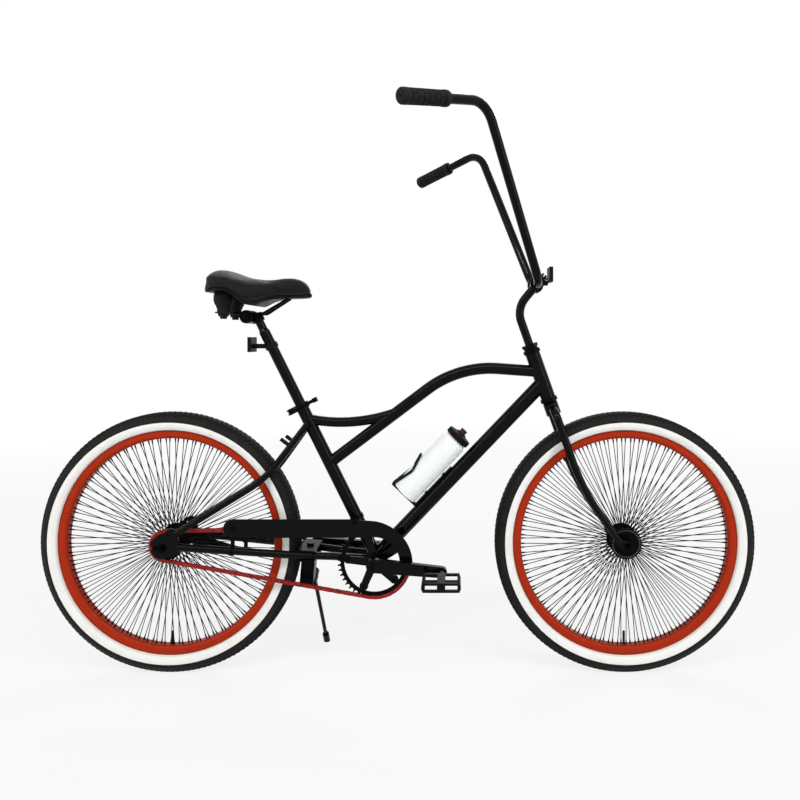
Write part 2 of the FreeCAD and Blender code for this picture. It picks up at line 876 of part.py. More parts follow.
# Headset: cups and their bearings in the head tube, races and nuts on the fork
head_end = head_start + size.head_tube_length
cup_outer = size.head_tube_radius + size.cup_flange
race_bore = size.steerer_radius + size.running_gap
cup_points = [
    (race_bore, -size.cup_height + size.race_height),
    (size.bearing_radius + size.cup_flange, -size.cup_height),
    (cup_outer, -size.cup_height),
    (cup_outer, 0),
    (head_bore_radius, 0),
    (head_bore_radius, size.cup_depth),
    (race_bore, size.cup_depth),
]
lower_cup = turned("lower_headset_cup", cup_points, on_steering(head_start), head_way)
upper_cup = turned("upper_headset_cup", cup_points, on_steering(head_end), -head_way)

bracket_cup_half = size.shell_width / 2
bracket_cup_points = [
    (size.bracket_bearing_radius, -size.bracket_cup_flange),
    (size.shell_radius - size.seat_gap, -size.bracket_cup_flange),
    (size.shell_radius - size.seat_gap, 0),
    (shell_bore_radius, 0),
    (shell_bore_radius, 2 * size.bracket_bearing_width),
    (size.spindle_radius + size.running_gap, 2 * size.bracket_bearing_width),
    (size.spindle_radius + size.running_gap, size.bracket_bearing_width),
    (size.bracket_bearing_radius, size.bracket_bearing_width),
]
right_cup = turned("right_bracket_cup", bracket_cup_points, across(shell, -bracket_cup_half), LEFT)
bracket_bearing = ring(
    "right_bracket_bearing", size.bracket_bearing_radius, size.spindle_radius + size.running_gap,
    size.bracket_bearing_width, across(shell, -bracket_cup_half), LEFT,
)
node(
    together(
        "bearing_cups_group", lower_cup, upper_cup, pair("bracket_cups", right_cup),
        pair("bracket_bearings", bracket_bearing),
    ),
    "bearing_cups",
)

race_points = [
    (size.steerer_radius, 0),
    (size.crown_radius, 0),
    (size.bearing_radius + size.cup_flange - size.running_gap, size.race_height - size.running_gap),
    (size.steerer_radius, size.race_height - size.running_gap),
]
crown_top = size.crown_distance + size.crown_height
crown_race = turned("crown_race", race_points, on_steering(crown_top), head_way)
cone_start = head_end + size.cup_height + size.running_gap
top_cone = ring(
    "top_cone", size.lock_nut_radius, size.steerer_radius, size.top_cone_height,
    on_steering(cone_start), head_way
)
lock_start = cone_start + size.top_cone_height
lock_nut = hex_nut(
    "lock_nut", 2 * size.lock_nut_radius, size.lock_nut_height, size.steerer_radius,
    on_steering(lock_start), head_way
)
node(together("headset_races_group", crown_race, top_cone, lock_nut), "headset_races")

# Fork: steerer, crown, two raked blades, two dropouts
steerer_top = lock_start + size.lock_nut_height
steerer_length = steerer_top - crown_top
steerer_bore_radius = size.steerer_radius - size.steerer_wall
steerer = ring(
    "steerer", size.steerer_radius, steerer_bore_radius, steerer_length, on_steering(crown_top), head_way
)
crown = cylinder(
    "fork_crown", size.crown_radius, size.crown_height, on_steering(size.crown_distance), head_way,
)
fork_plate_half = size.fork_spread / 2
blade_top_half = tyre_half + size.blade_tyre_gap + size.blade_radius
blade_tip_half = fork_plate_half + size.dropout_thickness / 2
blade_bend = across(on_steering(size.blade_bend_distance), -blade_top_half)
blade_aim = front_axle - head_normal * float(size.blade_tip_offset)
tip_way = (blade_aim - on_steering(size.blade_bend_distance)).normalize()
blade_reach = (front_axle - on_steering(size.blade_bend_distance)).Length - float(size.blade_end_gap)
blade_tip = across(on_steering(size.blade_bend_distance) + tip_way * blade_reach, -blade_tip_half)
blade_path = rounded_path(
    [
        on_steering(size.crown_distance + size.blade_drop),
        across(on_steering(size.crown_distance + size.blade_drop), -blade_top_half),
        blade_bend,
        blade_tip,
    ],
    [size.crown_bend_radius, size.blade_bend_radius],
)
fork_plate_place = Placement(across(front_axle, -fork_plate_half), UPRIGHT)
fork_plate_turn = Rotation(
    LEFT, -math.degrees(math.atan2(blade_tip.z - front_axle.z, blade_tip.x - front_axle.x)),
)
fork_plate_place.Rotation = fork_plate_turn.multiply(UPRIGHT)
fork_tongue_radius = size.blade_tip_radius - size.seat_gap
fork_plate_blank = plate(
    "fork_plate_blank", link_outline(size.dropout_radius, fork_tongue_radius, size.dropout_tongue),
    size.dropout_thickness, fork_plate_place,
)
fork_slot_depth = size.dropout_thickness + 2 * size.overrun
fork_slot_start = across(front_axle, -fork_plate_half + size.overrun)
fork_slot = box(
    "fork_slot", slot_width, 2 * size.dropout_radius, fork_slot_depth,
    Placement(fork_slot_start - UP * float(size.dropout_radius), UPRIGHT),
)
fork_slot_end = cylinder("fork_slot_end", slot_width / 2, fork_slot_depth, fork_slot_start, -LEFT)
fork_plate = cut("fork_plate", fork_plate_blank, fork_slot, fork_slot_end)
blade_rod = swept("blade_rod", blade_path, size.blade_radius, size.blade_tip_radius)
blade_bore = swept(
    "blade_bore", blade_path, size.blade_radius - size.stay_wall, size.blade_tip_radius - size.stay_wall
)
blade = hollow("fork_blade", blade_rod, blade_bore, crown, fork_plate_blank)
node(
    together("fork_group", steerer, crown, pair("fork_blades", blade), pair("fork_plates", fork_plate)),
    "fork",
)

# Stem, its wedge and bolts
bar_centre = on_steering(size.bar_clamp_distance) + head_normal * float(size.bar_clamp_forward)
stem_low = on_steering(steerer_top - size.quill_depth)
stem_bend = on_steering(steerer_top + size.stem_rise)
stem_path = rounded_path([stem_low, stem_bend, bar_centre], [size.stem_bend_radius])
stem_rod = swept("stem_rod", stem_path, size.stem_radius)
stem_collar = cylinder(
    "stem_collar", size.clamp_radius, size.clamp_width, across(bar_centre, size.clamp_width / 2), -LEFT
)
ear_way = (bar_centre - stem_bend).normalize()
ear_reach = size.clamp_radius + size.clamp_ear_length
ear_place = Placement(bar_centre, Rotation(UP, ear_way))
stem_ears = box("stem_ears", size.clamp_ear_thickness, size.clamp_width / 2, ear_reach, ear_place)
bar_hole = cylinder(
    "bar_hole", size.bar_radius + size.seat_gap, size.clamp_width + 2 * size.overrun,
    across(bar_centre, size.clamp_width / 2 + size.overrun), -LEFT,
)
ear_slit = box(
    "ear_slit", size.collar_slit, size.clamp_width + size.overrun, ear_reach + size.overrun,
    ear_place,
)
ear_bolt_point = bar_centre + ear_way * float(size.clamp_radius + size.clamp_ear_length / 2)
ear_side = Vector(ear_way.z, 0, -ear_way.x)
ear_bolt_start = ear_bolt_point + ear_side * float(size.clamp_ear_thickness / 2)
ear_bolt_hole = cylinder(
    "ear_bolt_hole", size.bolt_radius + size.seat_gap, size.clamp_ear_thickness + 2 * size.overrun,
    ear_bolt_start + ear_side * float(size.overrun), -ear_side,
)
quill_bore = cylinder(
    "quill_bore", size.bolt_radius + size.seat_gap,
    size.quill_depth + size.stem_rise + 2 * size.stem_radius,
    stem_low - head_way * float(size.overrun), head_way,
)
stem_solid = fused("stem_solid", stem_rod, stem_collar, stem_ears)
node(cut("stem", stem_solid, bar_hole, ear_slit, ear_bolt_hole, quill_bore), "stem")
quill_bolt_length = size.quill_depth + size.stem_rise - size.stem_radius
wedge = ring(
    "stem_wedge", size.stem_radius - size.seat_gap, size.bolt_radius, size.wedge_length,
    stem_low - head_way * float(size.wedge_length + size.seat_gap), head_way,
)
quill_bolt = cylinder(
    "quill_bolt", size.bolt_radius, quill_bolt_length + size.wedge_length,
    stem_low - head_way * float(size.wedge_length),
    head_way,
)
ear_bolt = bolt(
    "ear_bolt", size.bolt_radius, size.clamp_ear_thickness + size.bolt_head_height, size.bolt_head_radius,
    size.bolt_head_height, ear_bolt_start + ear_side * float(size.seat_gap), -ear_side,
)
node(together("stem_hardware_group", wedge, quill_bolt, ear_bolt), "stem_bolts")

# Handlebar and grips
bar_low = bar_centre + LEFT * -float(size.bar_flat_half)
bar_top = bar_centre + spot(-size.bar_back, -size.bar_top_half, size.bar_rise)
bar_end = bar_top + spot(-size.grip_back, size.bar_top_half - size.grip_half, -size.grip_drop)


def other_side(point):
    return Vector(point.x, -point.y, point.z)


bar_points = [bar_end, bar_top, bar_low, other_side(bar_low), other_side(bar_top), other_side(bar_end)]
bar_bends = [
    size.bar_top_bend_radius, size.bar_low_bend_radius, size.bar_low_bend_radius,
    size.bar_top_bend_radius,
]
bar_path = rounded_path(bar_points, bar_bends)
bar_outer = swept("bar_outer", bar_path, size.bar_radius)
bar_bore = swept("bar_bore", bar_path, size.bar_radius - size.bar_wall)
node(hollow("handlebar", bar_outer, bar_bore), "handlebar")
grip_way = (bar_top - bar_end).normalize()
grip_hole = size.bar_radius + size.seat_gap
grip_points = [
    (0, -size.grip_end_wall),
    (size.grip_radius, -size.grip_end_wall),
    (size.grip_radius, size.grip_length - size.grip_flange_width),
    (size.grip_flange_radius, size.grip_length - size.grip_flange_width),
    (size.grip_flange_radius, size.grip_length),
    (grip_hole, size.grip_length),
    (grip_hole, -size.seat_gap),
    (0, -size.seat_gap),
]
node(pair("grips_group", turned("right_grip", grip_points, bar_end, grip_way)), "grips")


# Wheels
def wheel(name, axle, barrel_radius):
    """Tyre, white bands, tube, rim, spokes and hub of one wheel, turned about its axle."""
    section = wheel_radius - tyre_half
    inner = tyre_half - size.tyre_wall
    band = tyre_half - size.white_band_depth
    band_low = size.rim_radius + size.white_band_start
    band_high = band_low + size.white_band_height

    def side(radius, level):
        """Half width at a distance from the axle of a round section about the tyre's middle."""
        return (radius * radius - (level - section) * (level - section)).root()

    bead_outer = size.rim_width / 2 - size.rim_wall - size.running_gap
    bead_inner = bead_outer - size.bead_thickness
    bead_low = size.rim_radius - size.bead_depth
    toe = size.rim_radius + size.rim_lip_gap + size.tyre_wall
    wall_low = band_low + 1.5 * size.tyre_wall
    shoulder = section + (tyre_half * tyre_half - (size.tread_width / 2) * (size.tread_width / 2)).root()
    lip = size.rim_radius + size.rim_lip_gap
    tyre_points = [
        (bead_low, bead_outer),
        (lip, bead_outer),
        (band_low, side(band, band_low), -band),
        (band_high, side(band, band_high)),
        (band_high, side(tyre_half, band_high), -tyre_half),
        (shoulder, size.tread_width / 2),
        (wheel_radius, size.tread_flat_width / 2),
        (wheel_radius, -size.tread_flat_width / 2),
        (shoulder, -size.tread_width / 2, -tyre_half),
        (band_high, -side(tyre_half, band_high)),
        (band_high, -side(band, band_high), -band),
        (band_low, -side(band, band_low)),
        (lip, -bead_outer),
        (bead_low, -bead_outer),
        (bead_low, -bead_inner),
        (toe, -bead_inner),
        (wall_low, -side(inner, wall_low), inner),
        (section, -inner, inner),
        (section + inner, 0, inner),
        (section, inner, inner),
        (wall_low, side(inner, wall_low)),
        (toe, bead_inner),
        (bead_low, bead_inner),
    ]
    node(turned(f"{name}_tyre_body", tyre_points, axle, LEFT), f"{name}_tyre")
    band_points = [
        (band_low, side(tyre_half, band_low), -tyre_half),
        (band_high, side(tyre_half, band_high)),
        (band_high, side(band, band_high), band),
        (band_low, side(band, band_low)),
    ]
    white_band = turned(f"{name}_white_band", band_points, axle, LEFT)
    node(pair(f"{name}_white_bands_group", white_band), f"{name}_white_bands")

    rim_inner = size.rim_radius - size.rim_depth
    rim_half, bed_half = size.rim_width / 2, size.rim_bed_width / 2
    rim_side = size.rim_radius - size.rim_shoulder_depth
    rim_points = [
        (size.rim_radius, rim_half - size.rim_wall),
        (rim_side, rim_half - size.rim_wall),
        (rim_inner + size.rim_wall, bed_half - size.rim_wall / 2),
        (rim_inner + size.rim_wall, -bed_half + size.rim_wall / 2),
        (rim_side, -rim_half + size.rim_wall),
        (size.rim_radius, -rim_half + size.rim_wall),
        (size.rim_radius, -rim_half),
        (rim_side, -rim_half, -size.rim_corner_radius),
        (rim_inner, -bed_half),
        (rim_inner, bed_half, -size.rim_corner_radius),
        (rim_side, rim_half),
        (size.rim_radius, rim_half),
    ]
    rim_blank = turned(f"{name}_rim_blank", rim_points, axle, LEFT)
    tube_radius = inner - size.tube_slack
    tube_middle = section + size.tube_slack - size.tube_gap
    valve_start = tube_middle - tube_radius + size.tube_wall / 2
    valve_length = valve_start - rim_inner + size.valve_reach
    valve_foot = axle - UP * float(valve_start)
    valve_hole = cylinder(
        f"{name}_valve_hole", size.valve_radius + size.running_gap, valve_length, valve_foot, UP
    )
    node(cut(f"{name}_rim_part", rim_blank, valve_hole), f"{name}_rim")

    tube_outer = bind(
        doc.addObject("Part::Torus", f"{name}_tube_outer"), Radius1=tube_middle, Radius2=tube_radius
    )
    tube_inner = bind(
        doc.addObject("Part::Torus", f"{name}_tube_inner"), Radius1=tube_middle,
        Radius2=tube_radius - size.tube_wall,
    )
    tube_outer.Placement = tube_inner.Placement = aimed(axle, LEFT)
    valve = cylinder(f"{name}_valve", size.valve_radius, valve_length, valve_foot, UP)
    tube_shell = cut(f"{name}_tube_shell", tube_outer, tube_inner)
    node(fused(f"{name}_tube_part", tube_shell, valve), f"{name}_inner_tube")

    flange_in = size.flange_offset - size.flange_thickness / 2
    flange_out = size.flange_offset + size.flange_thickness / 2
    seat_start = size.hub_half_length - size.bearing_width - size.seat_gap
    half_hub = [
        (barrel_radius, flange_in),
        (size.flange_radius, flange_in),
        (size.flange_radius, flange_out),
        (size.hub_collar_radius, flange_out),
        (size.hub_collar_radius, size.hub_half_length),
        (size.bearing_radius, size.hub_half_length),
        (size.bearing_radius, seat_start),
        (size.hub_bore_radius, seat_start),
    ]
    hub_points = half_hub + [(radius, -distance) for radius, distance in reversed(half_hub)]
    hub = turned(f"{name}_hub_shell", hub_points, axle, LEFT)
    bearing = ring(
        f"{name}_bearing", size.bearing_radius, size.cone_radius + size.running_gap, size.bearing_width,
        across(axle, -size.hub_half_length), LEFT,
    )
    node(together(f"{name}_hub_group", hub, pair(f"{name}_bearings", bearing)), f"{name}_hub")
    node(solid(f"{name}_spoke_set", spokes(axle, rim_inner)), f"{name}_spokes")


def spokes(axle, rim_inner):
    """Straight spokes out from both flanges to the rim, inside and outside a flange by turns."""
    count = int(float(size.spokes_per_wheel))
    hub_reach = float(size.flange_radius - size.flange_edge)
    rim_reach = float(rim_inner - 2 * size.seat_gap)
    inside = float(size.flange_offset - size.flange_thickness / 2 - size.spoke_radius - size.seat_gap)
    outside = float(
        size.flange_offset + size.flange_thickness / 2 + size.spoke_radius + size.spoke_flange_gap,
    )
    rods = []
    for number in range(count):
        turn = (number + 0.5) * 2 * math.pi / count
        side = -1 if number % 2 == 0 else 1
        within = number % 4 < 2
        hub_half = side * (inside if within else outside)
        rim_half = side * float(size.spoke_seat_inner if within else size.spoke_seat_outer)
        start = axle + Vector(hub_reach * math.cos(turn), hub_half, hub_reach * math.sin(turn))
        end = axle + Vector(rim_reach * math.cos(turn), rim_half, rim_reach * math.sin(turn))
        rods.append(Part.makeCylinder(float(size.spoke_radius), (end - start).Length, start, end - start))
    return Part.makeCompound(rods)


def axle_set(name, axle, plate_inner_half, extra=()):
    """Axle, cones, washers and nuts, held by the plates of a fork or frame."""
    plate_outer = plate_inner_half + size.dropout_thickness
    nut_start = plate_outer + size.washer_thickness
    axle_half = nut_start + size.axle_nut_width + size.axle_stub
    rod = cylinder(f"{name}_rod", size.axle_radius, 2 * axle_half, across(axle, axle_half), -LEFT)
    cone_inner = size.hub_half_length - size.bearing_width
    shoulder = size.hub_half_length + size.cone_shoulder_gap
    cone_points = [
        (size.axle_radius, -cone_inner),
        (size.cone_radius, -cone_inner),
        (size.cone_radius, -shoulder),
        (size.cone_shoulder_radius, -shoulder),
        (size.cone_shoulder_radius, -plate_inner_half),
        (size.axle_radius, -plate_inner_half),
    ]
    cone = turned(f"{name}_cone", cone_points, axle, LEFT)
    washer = ring(
        f"{name}_washer", size.washer_radius, size.axle_radius, size.washer_thickness,
        across(axle, -plate_outer), -LEFT,
    )
    nut = hex_nut(
        f"{name}_nut", size.axle_nut_flats, size.axle_nut_width, size.axle_radius,
        across(axle, -nut_start), -LEFT
    )
    kinds = (("cones", cone), ("washers", washer), ("nuts", nut))
    sides = [pair(f"{name}_{kind}", item) for kind, item in kinds]
    node(together(f"{name}_group", rod, *sides, *extra), name)


wheel("front", front_axle, size.front_barrel_radius)
wheel("rear", rear_axle, size.rear_barrel_radius)
axle_set("front_axle", front_axle, fork_plate_half)
axle_set("rear_axle", rear_axle, plate_half)


# Drive: chainring, sprocket, chain
def toothed(name, teeth, radius, inner_radius, phase_angle, centre, lugs=False):
    """A toothed plate: a ring with seats for the chain's rollers cut round its rim."""
    tip = radius + size.tooth_height
    body = doc.addObject("PartDesign::Body", name)
    axis = (origin_item(body, "Z_Axis"), [""])
    disc = body.newObject("PartDesign::Pad", f"{name}_disc")
    disc.Profile = outline(body, "XY_Plane", [(tip, 0, tip), (0, tip, tip), (-tip, 0, tip), (0, -tip, tip)],
                           [(0, 0, inner_radius)])
    bind(disc, Length=size.tooth_thickness)
    if lugs:
        lug = body.newObject("PartDesign::Pad", f"{name}_lug")
        lug.Profile = outline(body, "XY_Plane", lug_circle(size.ring_lug_radius))
        bind(lug, Length=size.tooth_thickness)
        repeat(body, lug, axis, size.spider_arms)
        hole = body.newObject("PartDesign::Pocket", f"{name}_bolt_hole")
        hole.Profile = outline(body, "XY_Plane", lug_circle(size.ring_bolt_radius + size.seat_gap))
        hole.Type, hole.Reversed = "ThroughAll", True
        repeat(body, hole, axis, size.spider_arms)
    seat = size.roller_radius + size.tooth_seat_gap
    mouth = tip * math.pi / teeth - size.tooth_tip_width / 2
    outside = tip + size.overrun
    gap = body.newObject("PartDesign::Pocket", f"{name}_tooth_gap")
    turn = math.radians(phase_angle)
    gap.Profile = outline(
        body, "XY_Plane",
        [rolled(x, y, turn) + bend for x, y, bend in (
            (radius, -seat, ()), (outside, -mouth, ()), (outside, mouth, ()), (radius, seat, (seat,)),
            (radius - seat, 0, (seat,)),
        )],
    )
    gap.Type, gap.Reversed = "ThroughAll", True
    repeat(body, gap, axis, teeth)
    body.Placement = Placement(across(centre, -size.chain_line + size.tooth_thickness / 2), UPRIGHT)
    return body


def lug_circle(radius):
    """Four arcs of a circle on the bolt circle, half a share of a turn away from the crank arm."""
    circle, turn = size.ring_bolt_circle, math.pi / float(size.spider_arms)
    corners = [(circle + radius, 0), (circle, radius), (circle - radius, 0), (circle, -radius)]
    return [rolled(x, y, turn) + (radius,) for x, y in corners]


def rolled(x, y, turn):
    """A point turned about the origin, as two Size values."""
    return (x * math.cos(turn) - y * math.sin(turn), x * math.sin(turn) + y * math.cos(turn))


def repeat(body, feature, axis, count):
    """Copy a feature evenly round the body's axis."""
    doc.recompute()
    pattern = body.newObject("PartDesign::PolarPattern", f"{feature.Name}_pattern")
    pattern.Originals, pattern.Axis, pattern.Angle = [feature], axis, 360
    pattern.Occurrences = int(float(count))
    bind(pattern, Occurrences=count)
    body.Tip = pattern
    doc.recompute()


def chain_points():
    """Roller centres along the taut chain, from the top of the chainring round to its underside and back."""
    big, small = float(pitch_radius["ring"]), float(pitch_radius["sprocket"])
    pitch = float(size.chain_pitch)
    lean = math.asin((big - small) / drive_distance)
    line = (shell - rear_axle).normalize()
    tilt = math.atan2(line.z, line.x)
    straight = drive_distance * math.cos(lean) / pitch
    ring_wrap = (math.pi + 2 * lean) * float(size.ring_teeth) / (2 * math.pi)
    sprocket_wrap = (math.pi - 2 * lean) * float(size.sprocket_teeth) / (2 * math.pi)
    top = tilt + math.pi / 2 + lean
    points = []
    for number in range(int(float(size.chain_links))):
        step = float(number)
        if step <= ring_wrap:
            turn = top - step * 2 * math.pi / float(size.ring_teeth)
            point = shell + Vector(math.cos(turn), 0, math.sin(turn)) * big
        elif step <= ring_wrap + straight:
            turn = tilt - math.pi / 2 - lean
            way = Vector(math.sin(turn), 0, -math.cos(turn))
            run = (step - ring_wrap) * pitch
            point = shell + Vector(math.cos(turn), 0, math.sin(turn)) * big + way * run
        elif step <= ring_wrap + straight + sprocket_wrap:
            share = (step - ring_wrap - straight) / float(size.sprocket_teeth)
            turn = tilt - math.pi / 2 - lean - share * 2 * math.pi
            point = rear_axle + Vector(math.cos(turn), 0, math.sin(turn)) * small
        else:
            way = Vector(math.sin(top), 0, -math.cos(top))
            left_over = step - ring_wrap - straight - sprocket_wrap
            point = rear_axle + Vector(math.cos(top), 0, math.sin(top)) * small + way * (left_over * pitch)
        points.append(across(point, -size.chain_line))
    return points


def link_plate(start_half):
    """Two flat rings joined into one chain plate, from a half width inwards to outwards."""
    pitch, radius = float(size.chain_pitch), float(size.link_plate_radius)
    low, high = Vector(0, start_half, -radius), Vector(0, start_half, radius)
    along = FORWARD * pitch
    edges = [
        Part.LineSegment(low, low + along).toShape(),
        Part.Arc(low + along, along + Vector(radius, start_half, 0), high + along).toShape(),
        Part.LineSegment(high + along, high).toShape(),
        Part.Arc(high, Vector(-radius, start_half, 0), low).toShape(),
    ]
    return Part.Face(Part.Wire(edges)).extrude(LEFT * float(size.link_plate_thickness))


def rods_at_pitch(radius, half):
    """Two round rods across the chain, one pitch apart."""
    pitch = float(size.chain_pitch)
    return [Part.makeCylinder(radius, 2 * half, Vector(x, -half, 0), LEFT) for x in (0, pitch)]


def chain_shape():
    """Inner links with rollers and outer links with pins, by turns, along the chain's line."""
    roller_half = float(size.roller_width) / 2
    thickness, slack = float(size.link_plate_thickness), float(size.link_gap)
    outer_half = roller_half + thickness + slack
    holes = rods_at_pitch(float(size.pin_radius) + slack, 2 * outer_half)
    inner_parts = [link_plate(roller_half), link_plate(-roller_half - thickness)]
    inner_link = inner_parts[0].fuse(
        [inner_parts[1]] + rods_at_pitch(float(size.roller_radius), roller_half),
    )
    inner_link = inner_link.cut(holes).removeSplitter()
    pins = rods_at_pitch(float(size.pin_radius), outer_half + thickness + float(size.pin_end))
    outer_link = link_plate(outer_half).fuse([link_plate(-outer_half - thickness)] + pins).removeSplitter()
    points = chain_points()
    links = []
    for number, start in enumerate(points):
        end = points[(number + 1) % len(points)]
        link = (inner_link if number % 2 == 0 else outer_link).copy()
        way = (end - start).normalize()
        link.Placement = Placement(start, Rotation(LEFT, -math.degrees(math.atan2(way.z, way.x))))
        links.append(link)
    return Part.makeCompound(links)


rollers = chain_points()


def roller_angle(centre, reach):
    """The angle at which a chain roller sits on a toothed wheel."""
    seated = min(rollers, key=lambda point: abs((point - across(centre, -size.chain_line)).Length - reach))
    away = seated - centre
    return math.degrees(math.atan2(away.z, away.x))


ring_phase = roller_angle(shell, float(pitch_radius["ring"])) + float(size.crank_angle)
chainring = toothed(
    "chainring_body", size.ring_teeth, pitch_radius["ring"], size.ring_inner_radius, ring_phase,
    shell, lugs=True
)
crank_turn = Rotation(LEFT, float(size.crank_angle))
chainring.Placement.Rotation = crank_turn.multiply(UPRIGHT)
node(chainring, "chainring")
sprocket_phase = roller_angle(rear_axle, float(pitch_radius["sprocket"]))
sprocket = toothed(
    "sprocket_body", size.sprocket_teeth, pitch_radius["sprocket"], size.driver_radius,
    sprocket_phase, rear_axle
)
driver_start = size.hub_half_length + size.driver_inner_gap
driver_end = size.chain_line + size.tooth_thickness
driver = ring(
    "hub_driver", size.driver_radius, size.cone_shoulder_radius + size.running_gap,
    driver_end - driver_start,
    across(rear_axle, -driver_start), -LEFT,
)
node(together("sprocket_group", sprocket, driver), "rear_sprocket")
node(solid("chain_links_set", chain_shape()), "chain")

# Cranks and pedals
crank_outer_half = size.crank_inner_half + size.crank_thickness
spider_start = size.chain_line + size.tooth_thickness / 2
spindle_half = crank_outer_half - size.crank_bolt_height
node(
    cylinder("spindle_rod", size.spindle_radius, 2 * spindle_half, across(shell, spindle_half), -LEFT),
    "crank_spindle",
)
spindle_hole = cylinder(
    "spindle_hole", size.spindle_radius, 2 * (crank_outer_half + size.overrun),
    across(shell, crank_outer_half + size.overrun), -LEFT,
)


def crank_place(half, turn_angle=0):
    """A plate's placement on the crank: its own X runs along the right crank arm, turned by an angle."""
    turn = Rotation(LEFT, float(size.crank_angle) - turn_angle)
    return Placement(across(shell, half), turn.multiply(UPRIGHT))


crank_eye = crank_place(0).multVec(spot(size.crank_length, 0, 0))
left_eye = crank_place(0).multVec(spot(-size.crank_length, 0, 0))
arm_points = link_outline(size.crank_boss_radius, size.crank_eye_radius, size.crank_length)
right_bar = plate("right_bar", arm_points, size.crank_thickness, crank_place(-size.crank_inner_half))
left_bar = plate("left_bar", arm_points, size.crank_thickness, crank_place(crank_outer_half, 180))
spider = []
for number in range(int(float(size.spider_arms))):
    turn_angle = (number + 0.5) * 360 / float(size.spider_arms)
    spider.append(plate(
        f"spider_arm_{number}",
        link_outline(size.spider_hub_radius / 2, size.spider_arm_radius, size.ring_bolt_circle),
        size.spider_thickness, crank_place(-spider_start, turn_angle),
    ))
spider_hub = cylinder(
    "spider_hub", size.spider_hub_radius, size.spider_thickness, across(shell, -spider_start),
    -LEFT,
)
boss_width = size.crank_inner_half - spider_start
right_boss = cylinder("right_boss", size.crank_boss_radius, boss_width, across(shell, -spider_start), -LEFT)
pedal_hole_length = size.crank_thickness + 2 * size.overrun
right_pedal_hole = cylinder(
    "right_pedal_hole", size.pedal_axle_radius, pedal_hole_length,
    across(crank_eye, -size.crank_inner_half + size.overrun), -LEFT,
)
left_pedal_hole = cylinder(
    "left_pedal_hole", size.pedal_axle_radius, pedal_hole_length,
    across(left_eye, size.crank_inner_half - size.overrun), LEFT,
)
ring_bolts, ring_bolt_holes = [], []
ring_bolt_length = size.spider_thickness + size.tooth_thickness
for number in range(int(float(size.spider_arms))):
    turn_angle = (number + 0.5) * 360 / float(size.spider_arms)
    point = crank_place(-spider_start - size.spider_thickness, turn_angle).multVec(
        spot(size.ring_bolt_circle, 0, 0),
    )
    ring_bolts.append(bolt(
        f"ring_bolt_{number}", size.ring_bolt_radius, ring_bolt_length,
        size.ring_bolt_radius + size.washer_thickness,
        size.washer_thickness, point, LEFT,
    ))
    ring_bolt_holes.append(cylinder(
        f"ring_bolt_hole_{number}", size.ring_bolt_radius, ring_bolt_length + 2 * size.overrun,
        across(point, -size.overrun), LEFT,
    ))
right_arm = fused("right_arm", right_bar, right_boss, spider_hub, *spider)
node(cut("right_crank", right_arm, spindle_hole, right_pedal_hole, *ring_bolt_holes), "right_crank_arm")
node(cut("left_crank", left_bar, spindle_hole, left_pedal_hole), "left_crank_arm")
right_crank_bolt = cylinder(
    "right_crank_bolt", size.crank_bolt_radius, size.crank_bolt_height, across(shell, -spindle_half), -LEFT
)
crank_bolts = [pair("crank_bolts_pair", right_crank_bolt), *ring_bolts]

pedal_start = crank_outer_half + size.pedal_gap
pedal_middle = pedal_start + size.pedal_width / 2
axle_reach = size.pedal_width - size.pedal_frame - size.seat_gap
pedal_axle_points = [
    (0, 0),
    (size.pedal_axle_radius, 0),
    (size.pedal_axle_radius, size.crank_thickness),
    (size.pedal_axle_flange, size.crank_thickness),
    (size.pedal_axle_flange, size.crank_thickness + size.pedal_gap - size.running_gap),
    (size.pedal_axle_radius, size.crank_thickness + size.pedal_gap - size.running_gap),
    (size.pedal_axle_radius, size.crank_thickness + size.pedal_gap + axle_reach),
    (0, size.crank_thickness + size.pedal_gap + axle_reach),
]
right_axle = turned("right_pedal_axle", pedal_axle_points, across(crank_eye, -size.crank_inner_half), -LEFT)
left_axle = turned("left_pedal_axle", pedal_axle_points, across(left_eye, size.crank_inner_half), LEFT)
node(together("crank_bolts_group", right_axle, left_axle, *crank_bolts), "crank_bolts")


def pedal(name, eye, side):
    """A level platform pedal: a frame with a barrel in its middle, open above, below and at both ends."""
    middle = across(eye, side * pedal_middle)
    level = Placement(middle - UP * float(size.pedal_height / 2), Rotation())
    block = box(f"{name}_block", size.pedal_length, size.pedal_width, size.pedal_height, level)
    window_length = size.pedal_length / 2 - size.pedal_frame - size.pedal_barrel_radius
    window_width = size.pedal_width - 2 * size.pedal_frame
    tools = []
    for way in (-1, 1):
        centre = middle + FORWARD * (way * float(size.pedal_barrel_radius + window_length / 2))
        low = Placement(centre - UP * float(size.pedal_height / 2 + size.overrun), Rotation())
        tools.append(box(f"{name}_well_{way + 1}", window_length, window_width,
                         size.pedal_height + 2 * size.overrun, low))
        end = Placement(centre - UP * float(size.pedal_window_height / 2), Rotation())
        tools.append(box(f"{name}_window_{way + 1}", window_length, size.pedal_width + 2 * size.overrun,
                         size.pedal_window_height, end))
    bore_start = across(eye, side * (pedal_start - size.overrun))
    tools.append(cylinder(
        f"{name}_bore", size.pedal_axle_radius + size.running_gap,
        axle_reach + size.running_gap + size.overrun, bore_start, LEFT * side,
    ))
    rounded = doc.addObject("Part::Fillet", f"{name}_rounded")
    doc.recompute()
    rounded.Base = block
    radius = float(size.pedal_corner_radius)
    rounded.Edges = [
        (number, radius, radius) for number, edge in enumerate(block.Shape.Edges, 1)
        if abs(edge.tangentAt(edge.FirstParameter).y) > 0.9
    ]
    node(cut(f"{name}_part", rounded, *tools), name)


pedal("right_pedal", crank_eye, -1)
pedal("left_pedal", left_eye, 1)

